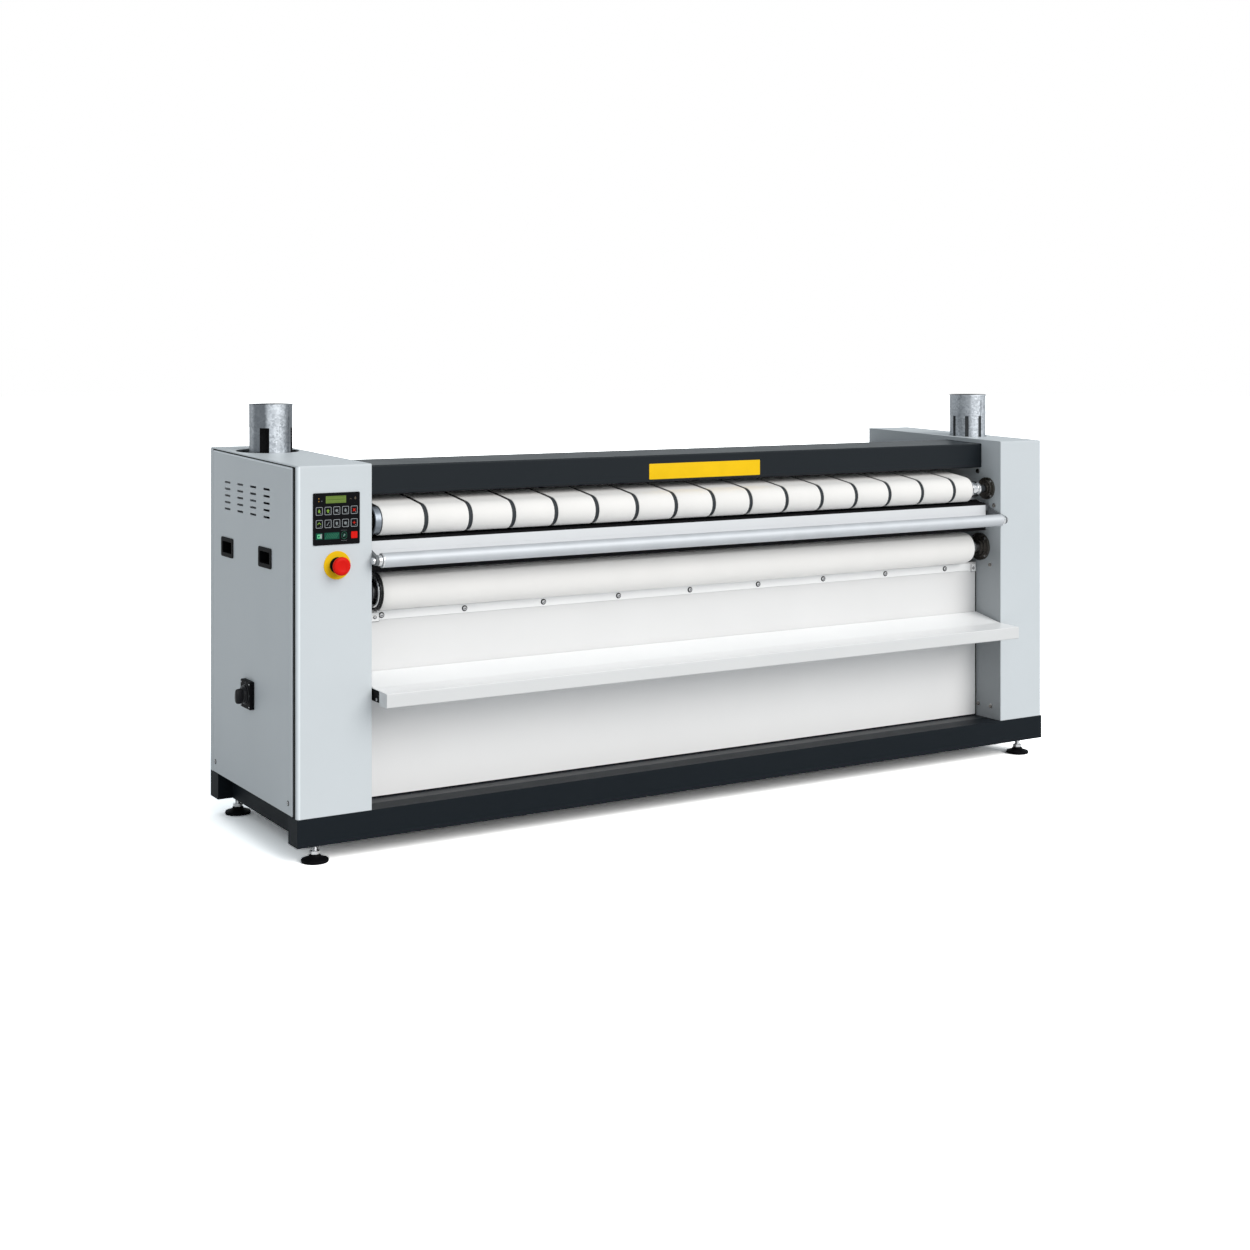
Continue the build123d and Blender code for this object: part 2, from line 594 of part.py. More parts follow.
def rear_cover():
    """Louvred sheet behind the cylinder, up to the top cover's rear skirt."""
    top = HOOD_TOP + HOOD_RISE - COVER_DROP - COVER_FALL - COVER_SKIRT - SEAT_GAP
    with BuildPart() as cover:
        with BuildSketch(Plane.XZ.offset(-(Y_REAR - PANEL_SHEET))):
            with Locations((CENTRE_X, (BASE_TOP + top) / 2)):
                Rectangle(CENTRE_WIDTH - 2 * SEAT_GAP, top - BASE_TOP)
            with Locations((CENTRE_X, BASE_TOP + 150)):
                with GridLocations(CENTRE_WIDTH / 6, 30, 6, 3):
                    SlotOverall(REAR_SLOT_LENGTH, REAR_SLOT_HEIGHT, mode=Mode.SUBTRACT)
        extrude(amount=-PANEL_SHEET)
        with Locations((CENTRE_X, Y_REAR - PANEL_SHEET - 7, top - 3)):
            Box(CENTRE_WIDTH - 2 * SEAT_GAP, 14, 6)
    return cover.part


def front_panel():
    """White sheet under the delivery roller, folded back at its top."""
    with BuildPart() as panel:
        with BuildSketch(Plane.YZ.offset(WALL_LEFT + SEAT_GAP)):
            with BuildLine():
                FilletPolyline(
                    (Y_FRONT + PANEL_DEPTH, BASE_TOP), (Y_FRONT + PANEL_DEPTH, PANEL_TOP - FRONT_SHEET),
                    (Y_FRONT + PANEL_DEPTH + 45, PANEL_TOP - FRONT_SHEET - 12), radius=4,
                )
                offset(amount=FRONT_SHEET, side=Side.RIGHT)
            make_face()
        extrude(amount=CENTRE_WIDTH - 2 * SEAT_GAP)
        with Locations(*strip_screw_places(Y_FRONT + PANEL_DEPTH)):
            Hole(STRIP_SCREW_SHANK + RUNNING_GAP, depth=10)
    return panel.part


def strip_screw_places(y):
    """Places of the clamp strip's screws, each facing the front."""
    x0 = WALL_LEFT + STRIP_FIRST_SCREW
    return [Location((x0 + i * STRIP_SCREW_PITCH, y, STRIP_Z), (90, 0, 0)) for i in range(STRIP_SCREWS)]


def strip_end_places(y):
    """Places of the two small screws in the strip's end tabs."""
    return [Location((x, y, STRIP_Z - 2), (90, 0, 0)) for x in (WALL_LEFT + 46, WALL_RIGHT - 22)]


def clamp_strip():
    """Flat bar along the panel's top edge, with a lower tab at each end."""
    y1 = Y_FRONT + PANEL_DEPTH
    y0 = y1 - STRIP_THICKNESS
    z = (STRIP_Z - STRIP_HEIGHT / 2, STRIP_Z + STRIP_HEIGHT / 2)
    x = (WALL_LEFT + STRIP_LEFT_GAP, WALL_RIGHT - STRIP_RIGHT_GAP)
    with BuildPart() as strip:
        block(x, (y0, y1), z)
        block((x[0], x[0] - STRIP_LEFT_GAP + 8), (y1 - 2, y1), (z[0] - 4, z[1] - 4))
        block((x[1], x[1] + STRIP_RIGHT_GAP - 8), (y1 - 2, y1), (z[0] - 4, z[1] - 4))
        with Locations(*strip_screw_places(y0)):
            Hole(STRIP_SCREW_SHANK + RUNNING_GAP, depth=10)
    return strip.part


def strip_screws():
    """Pan-head screws of the clamp strip and its end tabs."""
    y0 = Y_FRONT + PANEL_DEPTH - STRIP_THICKNESS
    with BuildPart() as screws:
        with Locations(*strip_screw_places(y0)):
            Cylinder(STRIP_SCREW_RADIUS, STRIP_SCREW_HEAD, align=(Align.CENTER, Align.CENTER, Align.MIN))
            Cylinder(STRIP_SCREW_SHANK, STRIP_THICKNESS + FRONT_SHEET + 2, align=(Align.CENTER, Align.CENTER, Align.MAX))
        chamfer(screws.edges().filter_by(GeomType.CIRCLE).group_by(Axis.Y)[0], 2)
        with Locations(*strip_end_places(Y_FRONT + PANEL_DEPTH - 2)):
            Cylinder(STRIP_SCREW_RADIUS / 2, 3, align=(Align.CENTER, Align.CENTER, Align.MIN))
    return screws.part


def linen_shelf():
    """Folded sheet: up against the panel, sloping forward, then level to a boxed lip."""
    back = Y_FRONT + PANEL_DEPTH
    lip = Y_FRONT - SHELF_REACH
    x0 = WALL_LEFT + SHELF_SIDE_GAP
    with BuildPart() as shelf:
        with BuildSketch(Plane.YZ.offset(x0)):
            with BuildLine():
                FilletPolyline(
                    (back - SHELF_SHEET, SHELF_BACK_Z - 30), (back - SHELF_SHEET, SHELF_BACK_Z), (Y_FRONT, SHELF_KNEE_Z),
                    (lip, SHELF_FRONT_Z), (lip, SHELF_FRONT_Z - SHELF_LIP),
                    (lip + SHELF_RETURN, SHELF_FRONT_Z - SHELF_LIP), radius=4,
                )
                offset(amount=SHELF_SHEET, side=Side.LEFT)
            make_face()
        extrude(amount=CENTRE_WIDTH - 2 * SHELF_SIDE_GAP)
        for x in (x0, x0 + CENTRE_WIDTH - 2 * SHELF_SIDE_GAP - SHELF_SHEET):
            block(
                (x, x + SHELF_SHEET), (lip + SHELF_SHEET, lip + SHELF_RETURN),
                (SHELF_FRONT_Z - SHELF_LIP + SHELF_SHEET / 2, SHELF_FRONT_Z - SHELF_SHEET / 2),
            )
    return shelf.part


def wall_brackets():
    """Plates on the inner walls: gussets for the shelf, and arms for the front tube and the feed plate."""
    plate_y = Y_FRONT + FEED_PLATE_DEPTH
    with BuildPart() as brackets:
        for side in (LEFT, RIGHT):
            with BuildSketch(Plane.YZ.offset(side.wall)):
                Polygon(
                    (Y_FRONT + 8, SHELF_KNEE_Z - 6), (Y_FRONT + PANEL_DEPTH - 40, SHELF_BACK_Z - 14),
                    (Y_FRONT + PANEL_DEPTH - 40, SHELF_BACK_Z - 110), (Y_FRONT + 60, SHELF_BACK_Z - 110),
                    (Y_FRONT + 8, SHELF_KNEE_Z - 40), align=None,
                )
            extrude(amount=-side.out * SHELF_BRACKET)
            slope = (SHELF_BACK_Z - SHELF_KNEE_Z) / (PANEL_DEPTH - SHELF_SHEET)
            run = [
                (y, SHELF_KNEE_Z + slope * (y - Y_FRONT) - SHELF_SHEET - drop)
                for y, drop in ((Y_FRONT + 20, 0.35), (Y_FRONT + 100, 0.35), (Y_FRONT + 100, 4), (Y_FRONT + 20, 4))
            ]
            with BuildSketch(Plane.YZ.offset(side.wall)):
                Polygon(*run, align=None)
            extrude(amount=-side.out * 30)
            with BuildSketch(Plane.YZ.offset(side.wall)):
                with BuildLine():
                    Polyline(
                        (Y_TUBE, TUBE_Z + 16), (plate_y + 12, FEED_PLATE_TOP - 14), (plate_y + 60, FEED_PLATE_TOP - 14),
                        (plate_y + 60, FEED_PLATE_TOP - 60), (Y_TUBE, TUBE_Z - 16),
                    )
                    ThreePointArc((Y_TUBE, TUBE_Z - 16), (Y_TUBE - 16, TUBE_Z), (Y_TUBE, TUBE_Z + 16))
                make_face()
                with Locations((Y_TUBE, TUBE_Z)):
                    Circle(AXLE_RADIUS, mode=Mode.SUBTRACT)
            extrude(amount=-side.out * BRACKET_PLATE)
            block(
                (side.wall, side.wall - side.out * (FEED_END_GAP + 40)),
                (plate_y + FEED_PLATE_SHEET, plate_y + FEED_PLATE_SHEET + 12),
                (FEED_PLATE_TOP - FEED_PLATE_LIP + FEED_PLATE_SHEET + 6, FEED_PLATE_TOP - FEED_PLATE_SHEET - 6),
            )
    return brackets.part


BELT_LOOP = (
    (Y_UPPER, UPPER_ROLLER_Z, UPPER_ROLLER_RADIUS + BELT_CLEARANCE),
    (Y_CYLINDER, CYLINDER_Z, -(CYLINDER_RADIUS + BELT_CLEARANCE + BELT_THICKNESS)),
    (LOWER_BELT[0], LOWER_BELT[1], LOWER_BELT_RADIUS + BELT_CLEARANCE),
    (REAR_BOTTOM[0], REAR_BOTTOM[1], REAR_BOTTOM_RADIUS + BELT_CLEARANCE),
    (REAR_TOP[0], REAR_TOP[1], REAR_TOP_RADIUS + BELT_CLEARANCE),
)


def ironing_belts():
    """Endless belts: round the upper roller, over and under the cylinder, and back outside it."""
    with BuildPart() as belts:
        for i in range(BELT_COUNT):
            width = BELT_PITCH - BELT_GAP if i < BELT_COUNT - 1 else LAST_BELT_WIDTH
            with BuildSketch(Plane.YZ.offset(BELT_START + i * BELT_PITCH)):
                with BuildLine():
                    draw_loop(BELT_LOOP, BELT_THICKNESS)
                make_face()
                with BuildLine():
                    draw_loop(BELT_LOOP, 0)
                make_face(mode=Mode.SUBTRACT)
            extrude(amount=width)
    return belts.part


def ironing_cylinder():
    """Hollow polished cylinder with end discs and hollow journals, all welded together."""
    x0 = WALL_LEFT + CYLINDER_END_GAP
    x1 = WALL_RIGHT - CYLINDER_END_GAP
    journal_left = X_SPROCKET - SPROCKET_THICKNESS - 8
    journal_right = WALL_RIGHT + WEB + CYLINDER_BEARING_LENGTH + 12
    with BuildPart() as cylinder:
        with BuildSketch(Plane.XZ):
            with BuildLine():
                Polyline(
                    (journal_left, JOURNAL_BORE), (journal_left, JOURNAL_RADIUS), (x0, JOURNAL_RADIUS),
                    (x0, CYLINDER_RADIUS), (x1, CYLINDER_RADIUS), (x1, JOURNAL_RADIUS), (journal_right, JOURNAL_RADIUS),
                    (journal_right, JOURNAL_BORE), (x1 - CYLINDER_DISC, JOURNAL_BORE),
                    (x1 - CYLINDER_DISC, CYLINDER_RADIUS - CYLINDER_WALL),
                    (x0 + CYLINDER_DISC, CYLINDER_RADIUS - CYLINDER_WALL), (x0 + CYLINDER_DISC, JOURNAL_BORE), close=True,
                )
            make_face()
        revolve(axis=Axis.X)
    return cylinder.part.moved(Location((0, Y_CYLINDER, CYLINDER_Z)))


def roller(x, y, z, radius, shaft_x, shaft_radius, collars=()):
    """A plain roller on its shaft, with any collars given as (x from, x to, radius)."""
    with BuildPart() as body:
        rod(x, y, z, radius)
        chamfer(body.edges().filter_by(GeomType.CIRCLE), 1.5)
        rod(shaft_x, y, z, shaft_radius)
        for start, end, size in collars:
            rod((start, end), y, z, size)
    return body.part


def upper_roller():
    """Dark roller that the belts go round, with a cupped left end and a stepped hub at its right end."""
    hub = WALL_RIGHT - 46
    x0 = BELT_START - UPPER_ROLLER_RIM
    with BuildPart() as body:
        add(roller(
            (x0, BELT_END + 4), Y_UPPER, UPPER_ROLLER_Z, UPPER_ROLLER_RADIUS,
            (WALL_LEFT - 50, WALL_RIGHT + 45), UPPER_SHAFT_RADIUS,
            [(BELT_END, BELT_END + 26, 24.0), (BELT_END + 26, hub, 20.0)],
        ))
        rod((x0 - 1, x0 + UPPER_CUP_DEPTH), Y_UPPER, UPPER_ROLLER_Z, UPPER_ROLLER_RADIUS - UPPER_CUP_WALL, mode=Mode.SUBTRACT)
        rod((x0 - 2, x0 + UPPER_CUP_DEPTH + 1), Y_UPPER, UPPER_ROLLER_Z, UPPER_SHAFT_RADIUS)
    return body.part


def hidden_roller(place):
    """A roller inside the machine that only turns the belts."""
    y, z, radius = place
    reach = WEB + BUSH_LENGTH + 4
    return roller(
        (WALL_LEFT + 8, WALL_RIGHT - 8), y, z, radius, (WALL_LEFT - reach, WALL_RIGHT + reach), HIDDEN_SHAFT_RADIUS
    )


def lower_roller():
    """Steel core of the delivery roller with a flange at each end of its pad."""
    core = LOWER_ROLLER_RADIUS - LOWER_PAD_THICKNESS
    return roller(
        (PAD_LEFT - END_FLANGE, PAD_RIGHT), Y_LOWER, LOWER_ROLLER_Z, core - RUNNING_GAP,
        (WALL_LEFT - 50, WALL_RIGHT + 45), LOWER_SHAFT_RADIUS,
        [
            (PAD_LEFT - END_FLANGE, PAD_LEFT - SEAT_GAP, LOWER_ROLLER_RADIUS - 1), (PAD_LEFT - 24, PAD_LEFT, 30.0),
            (PAD_RIGHT, PAD_RIGHT + 16, 27.0), (PAD_RIGHT + 16, PAD_RIGHT + 40, 23.0),
        ],
    )


def lower_roller_pad():
    """Padding wound on the delivery roller."""
    with BuildPart() as pad:
        rod((PAD_LEFT, PAD_RIGHT), Y_LOWER, LOWER_ROLLER_Z, LOWER_ROLLER_RADIUS)
        fillet(pad.edges().filter_by(GeomType.CIRCLE), 4)
        core = LOWER_ROLLER_RADIUS - LOWER_PAD_THICKNESS
        rod((PAD_LEFT - 1, PAD_RIGHT + 1), Y_LOWER, LOWER_ROLLER_Z, core, mode=Mode.SUBTRACT)
    return pad.part


def flange_bearing(wall, way, y, z, bore, steps):
    """A round flanged bearing on a wall; steps are (thickness, radius) going away from the wall."""
    x = wall
    with BuildPart() as bearing:
        for thickness, radius in steps:
            rod((x, x + way * thickness), y, z, radius)
            x += way * thickness
        rod((wall - way, x + way), y, z, bore, mode=Mode.SUBTRACT)
    return bearing.part


def roller_bearings():
    """Flanged bearings of the upper and the delivery roller on both inner walls."""
    with BuildPart() as bearings:
        for side in (LEFT, RIGHT):
            add(flange_bearing(
                side.wall, -side.out, Y_UPPER, UPPER_ROLLER_Z, UPPER_SHAFT_RADIUS + RUNNING_GAP,
                [(6, 45.0), (4, 38.0)] if side is LEFT else [(9, 45.0), (11, 38.0), (4, 26.0)],
            ))
            add(flange_bearing(
                side.wall, -side.out, Y_LOWER, LOWER_ROLLER_Z, LOWER_SHAFT_RADIUS + RUNNING_GAP,
                [(10, 56.0), (8, 44.0), (6, 32.0)],
            ))
    return bearings.part


def cylinder_bearings():
    """Large flanged bearings on the outer side of the side frames."""
    with BuildPart() as bearings:
        for side in (LEFT, RIGHT):
            add(flange_bearing(
                side.wall + side.out * WEB, side.out, Y_CYLINDER, CYLINDER_Z, JOURNAL_RADIUS + RUNNING_GAP,
                [
                    (CYLINDER_FLANGE_THICKNESS, CYLINDER_FLANGE_RADIUS),
                    (CYLINDER_BEARING_LENGTH - CYLINDER_FLANGE_THICKNESS, CYLINDER_BOSS_RADIUS),
                ],
            ))
    return bearings.part


def feed_plate():
    """Aluminium plate: a front lip, then a slope that follows the belts down to the cylinder."""
    arcs = wrap_points(BELT_LOOP, BELT_THICKNESS)
    leave, reach = arcs[0][2], arcs[1][0]
    length = hypot(reach[0] - leave[0], reach[1] - leave[1])
    along = ((reach[0] - leave[0]) / length, (reach[1] - leave[1]) / length)
    start = (leave[0] + FEED_BELT_GAP * along[1], leave[1] - FEED_BELT_GAP * along[0])
    end = (start[0] + FEED_RUN * along[0], start[1] + FEED_RUN * along[1])
    front = Y_FRONT + FEED_PLATE_DEPTH
    with BuildPart() as plate:
        with BuildSketch(Plane.YZ.offset(WALL_LEFT + FEED_END_GAP)):
            with BuildLine():
                FilletPolyline(
                    (front + 20, FEED_PLATE_TOP - FEED_PLATE_LIP), (front, FEED_PLATE_TOP - FEED_PLATE_LIP),
                    (front, FEED_PLATE_TOP), start, end, radius=4,
                )
                offset(amount=FEED_PLATE_SHEET, side=Side.RIGHT)
            make_face()
        extrude(amount=CENTRE_WIDTH - 2 * FEED_END_GAP)
    return plate.part


def feed_tube():
    """Front tube with a bearing plug in each end; it turns on its end bolts."""
    inset = BRACKET_PLATE + TUBE_SPACER + 0.5
    x = (WALL_LEFT + inset, WALL_RIGHT - inset)
    with BuildPart() as tube:
        rod(x, Y_TUBE, TUBE_Z, TUBE_RADIUS)
        rod((x[0] + TUBE_PLUG, x[1] - TUBE_PLUG), Y_TUBE, TUBE_Z, TUBE_RADIUS - TUBE_WALL, mode=Mode.SUBTRACT)
        rod(x, Y_TUBE, TUBE_Z, AXLE_RADIUS + RUNNING_GAP, mode=Mode.SUBTRACT)
    return tube.part


def tube_axles():
    """The bolts that the front tube turns on, each with its spacing collar."""
    with BuildPart() as axles:
        for side in (LEFT, RIGHT):
            collar = side.wall - side.out * (BRACKET_PLATE + TUBE_SPACER)
            rod((side.wall, collar - side.out * 26), Y_TUBE, TUBE_Z, AXLE_RADIUS)
            rod((side.wall - side.out * BRACKET_PLATE, collar), Y_TUBE, TUBE_Z, SPACER_RADIUS)
            rod((side.wall, side.wall + side.out * 8), Y_TUBE, TUBE_Z, 11.0)
    return axles.part


def sprocket(teeth, y, z, bore, hub_radius, hub_length):
    """A chain wheel along X in the chain's plane, its tooth gaps cut to the chain rollers."""
    pitch_radius = CHAIN_PITCH / (2 * sin(pi / teeth))
    x0 = X_SPROCKET - SPROCKET_THICKNESS / 2
    with BuildPart() as wheel:
        with BuildSketch(Plane.YZ.offset(x0)):
            with Locations((y, z)):
                Circle(pitch_radius + 5)
                Circle(bore, mode=Mode.SUBTRACT)
                with PolarLocations(pitch_radius, teeth, start_angle=90 + 180 / teeth):
                    RegularPolygon(ROLLER_CUT, 8, mode=Mode.SUBTRACT)
        extrude(amount=SPROCKET_THICKNESS)
        with BuildSketch(Plane.YZ.offset(x0 + SPROCKET_THICKNESS)):
            with Locations((y, z)):
                Circle(hub_radius)
                Circle(bore, mode=Mode.SUBTRACT)
        extrude(amount=hub_length)
    return wheel.part


def drive_chain():
    """Chain round both sprockets, drawn as one band that clears the teeth."""
    inner = 5 + CHAIN_CLEARANCE
    loop = (
        (Y_CYLINDER, CYLINDER_Z, PITCH_BIG + inner),
        (Y_CYLINDER, GEARBOX_Z, PITCH_SMALL + inner),
    )
    with BuildPart() as chain:
        with BuildSketch(Plane.YZ.offset(X_SPROCKET - CHAIN_WIDTH / 2)):
            for outward, mode in ((CHAIN_HEIGHT - inner, Mode.ADD), (0, Mode.SUBTRACT)):
                with BuildLine():
                    draw_loop(loop[::-1], outward)
                make_face(mode=mode)
        extrude(amount=CHAIN_WIDTH)
    return chain.part


def gearbox():
    """Worm gearbox bolted to the outer side of the left side frame."""
    x1 = WALL_LEFT - WEB
    x0 = x1 - GEARBOX_THICKNESS
    with BuildPart() as box:
        block((x0, x1), (Y_CYLINDER - GEARBOX_SIZE / 2, Y_CYLINDER + GEARBOX_SIZE / 2),
              (GEARBOX_Z - GEARBOX_SIZE / 2, GEARBOX_Z + GEARBOX_SIZE / 2))
        fillet(box.edges().filter_by(Axis.X), 25)
        rod((x0 - GEARBOX_BOSS, x0), Y_CYLINDER, GEARBOX_Z, 34)
        rod((x0 - 7, x1), Y_CYLINDER, GEARBOX_Z, DRIVE_SHAFT_RADIUS + RUNNING_GAP, mode=Mode.SUBTRACT)
    return box.part


def drive_sprocket():
    """Small sprocket and the gearbox output shaft that it is keyed to, as two solids."""
    hub_end = WALL_LEFT - WEB - GEARBOX_THICKNESS - GEARBOX_BOSS - SEAT_GAP
    hub = hub_end - X_SPROCKET - SPROCKET_THICKNESS / 2
    with BuildPart() as pair:
        add(sprocket(DRIVE_TEETH, Y_CYLINDER, GEARBOX_Z, DRIVE_SHAFT_RADIUS + RUNNING_GAP, 24, hub))
        rod((X_SPROCKET - SPROCKET_THICKNESS / 2 - 6, WALL_LEFT - WEB - 2), Y_CYLINDER, GEARBOX_Z, DRIVE_SHAFT_RADIUS)
    return pair.part


def drive_motor():
    """Motor hung under the gearbox, with cooling ribs and a fan cowl."""
    x = WALL_LEFT - WEB - GEARBOX_THICKNESS / 2 - 2
    top = GEARBOX_Z - GEARBOX_SIZE / 2
    with BuildPart() as motor:
        with BuildSketch(Plane.XY.offset(top)):
            with Locations((x, Y_CYLINDER)):
                Circle(MOTOR_RADIUS)
        extrude(amount=-12)
        with BuildSketch(Plane.XY.offset(top - 12)):
            with Locations((x, Y_CYLINDER)):
                Circle(MOTOR_RADIUS - 8)
                with PolarLocations(MOTOR_RADIUS - 8, 16):
                    Rectangle(12, 3)
        extrude(amount=-MOTOR_LENGTH * 0.6)
        with BuildSketch(Plane.XY.offset(top - 12 - MOTOR_LENGTH * 0.6)):
            with Locations((x, Y_CYLINDER)):
                Circle(MOTOR_RADIUS - 2)
        extrude(amount=-MOTOR_LENGTH * 0.4 + 12, taper=4)
    return motor.part


def fan_box(side):
    """Extraction fan housing on the side frame, round below and square where the duct leaves its top."""
    x0 = side.duct_x - FAN_BOX_WIDTH / 2
    with BuildPart() as box:
        for offset_in, mode in ((0, Mode.ADD), (DUCT_WALL, Mode.SUBTRACT)):
            radius = FAN_BOX_RADIUS - offset_in
            with BuildSketch(Plane.YZ.offset(x0 + offset_in)):
                with BuildLine():
                    Polyline(
                        (side.duct_y - radius, FAN_AXIS_Z), (side.duct_y - radius, FAN_BOX_TOP - offset_in),
                        (side.duct_y + radius, FAN_BOX_TOP - offset_in), (side.duct_y + radius, FAN_AXIS_Z),
                    )
                    ThreePointArc(
                        (side.duct_y + radius, FAN_AXIS_Z), (side.duct_y, FAN_AXIS_Z - radius),
                        (side.duct_y - radius, FAN_AXIS_Z),
                    )
                make_face()
            extrude(amount=FAN_BOX_WIDTH - 2 * offset_in, mode=mode)
        with Locations((side.duct_x, side.duct_y, FAN_BOX_TOP)):
            Cylinder(DUCT_RADIUS - DUCT_WALL - 8, 10, mode=Mode.SUBTRACT)
        outer = side.duct_x + side.out * FAN_BOX_WIDTH / 2
        rod((outer - 3 * side.out, outer + side.out), side.duct_y, FAN_AXIS_Z, 45, mode=Mode.SUBTRACT)
        inner = side.duct_x - side.out * FAN_BOX_WIDTH / 2
        rod((inner, side.wall + side.out * WEB), side.duct_y, FAN_AXIS_Z, 40)
        rod(
            (inner + 40 * side.out, side.wall + side.out * WEB), side.duct_y, FAN_AXIS_Z,
            FAN_SHAFT_RADIUS + RUNNING_GAP, mode=Mode.SUBTRACT,
        )
    return box.part


def fan_wheel(side):
    """Bladed wheel on the shaft of the fan motor that the housing's boss holds."""
    inner = side.duct_x - side.out * FAN_BOX_WIDTH / 2
    plate = inner + side.out * 34
    with BuildPart() as wheel:
        with BuildSketch(Plane.YZ.offset(plate)):
            with Locations((side.duct_y, FAN_AXIS_Z)):
                Circle(FAN_WHEEL_RADIUS)
        extrude(amount=side.out * 3)
        with BuildSketch(Plane.YZ.offset(plate + side.out * 3)):
            with Locations((side.duct_y, FAN_AXIS_Z)):
                with PolarLocations(FAN_WHEEL_RADIUS - 14, FAN_BLADES):
                    Rectangle(20, 2.5, rotation=35)
        extrude(amount=side.out * FAN_WHEEL_WIDTH)
        rod((side.wall + side.out * (WEB + 4), plate + side.out * 12), side.duct_y, FAN_AXIS_Z, FAN_SHAFT_RADIUS)
    return wheel.part


def burner():
    """Burner pipe through the right journal, with a mixing box on legs against the right side frame."""
    box_x = WALL_RIGHT + WEB + CYLINDER_BEARING_LENGTH + 26
    x0 = WALL_LEFT + CYLINDER_END_GAP + 120
    with BuildPart() as pipe:
        rod((x0, box_x + 4), Y_CYLINDER, CYLINDER_Z, BURNER_RADIUS)
        block((box_x, box_x + 70), (Y_CYLINDER - 60, Y_CYLINDER + 60), (CYLINDER_Z - 60, CYLINDER_Z + 60))
        for z in (CYLINDER_Z - CYLINDER_FLANGE_RADIUS - 24, CYLINDER_Z + CYLINDER_FLANGE_RADIUS + 4):
            block((WALL_RIGHT + WEB, box_x + 12), (Y_CYLINDER - 15, Y_CYLINDER + 15), (z, z + 20))
        block(
            (box_x, box_x + 12), (Y_CYLINDER - 15, Y_CYLINDER + 15),
            (CYLINDER_Z - CYLINDER_FLANGE_RADIUS - 24, CYLINDER_Z + CYLINDER_FLANGE_RADIUS + 24),
        )
    return pipe.part


def control_board():
    """Mounting plate with contactors and a transformer, on the left side frame's front flange."""
    y0 = Y_FRONT + CASING_SHEET + WEB
    x1 = WALL_LEFT - WEB
    x_face = x1 - BOARD_STANDOFF - BOARD_SHEET
    z = (BOARD_BOTTOM, BOARD_BOTTOM + BOARD_HEIGHT)
    with BuildPart() as board:
        block((x1 - BOARD_STANDOFF - BOARD_SHEET, x1 - BOARD_STANDOFF), (y0, y0 + BOARD_WIDTH), z)
        for y in (y0, y0 + BOARD_WIDTH - 12):
            block((x1 - BOARD_STANDOFF, x1), (y, y + 12), z)
        with Locations((x_face - 25, y0 + BOARD_WIDTH / 2, z[1] - 50)):
            with GridLocations(1, 52, 1, 4):
                Box(50, 44, 70)
        with Locations((x_face - 30, y0 + BOARD_WIDTH / 2, z[0] + 45)):
            Box(60, 110, 70)
    return board.part


def exhaust_duct(side):
    """Galvanized duct from the fan housing through the cabinet top, with draught windows just above it."""
    sill = top_at(side.duct_y) - 6
    with BuildPart() as duct:
        with BuildSketch(Plane.XY.offset(FAN_BOX_TOP)):
            with Locations((side.duct_x, side.duct_y)):
                Circle(DUCT_RADIUS)
                Circle(DUCT_RADIUS - DUCT_WALL, mode=Mode.SUBTRACT)
        extrude(amount=DUCT_TOP - FAN_BOX_TOP)
        with Locations((side.duct_x, side.duct_y, FAN_BOX_TOP)):
            neck = sill + DUCT_WINDOW_HEIGHT + DUCT_WALL - FAN_BOX_TOP
            Cylinder(DUCT_RADIUS + 5, neck, align=(Align.CENTER, Align.CENTER, Align.MIN), mode=Mode.SUBTRACT)
            Cylinder(DUCT_RADIUS - DUCT_STEP, neck, align=(Align.CENTER, Align.CENTER, Align.MIN))
            Cylinder(DUCT_RADIUS - DUCT_WALL, neck, align=(Align.CENTER, Align.CENTER, Align.MIN), mode=Mode.SUBTRACT)
        with Locations((side.duct_x, side.duct_y, sill + DUCT_WINDOW_HEIGHT / 2)):
            count, width, turn = side.windows
            for i in range(count // 2):
                Box(
                    2 * DUCT_RADIUS + 10, width, DUCT_WINDOW_HEIGHT, rotation=(0, 0, turn + 360 / count * i), mode=Mode.SUBTRACT
                )
    return duct.part


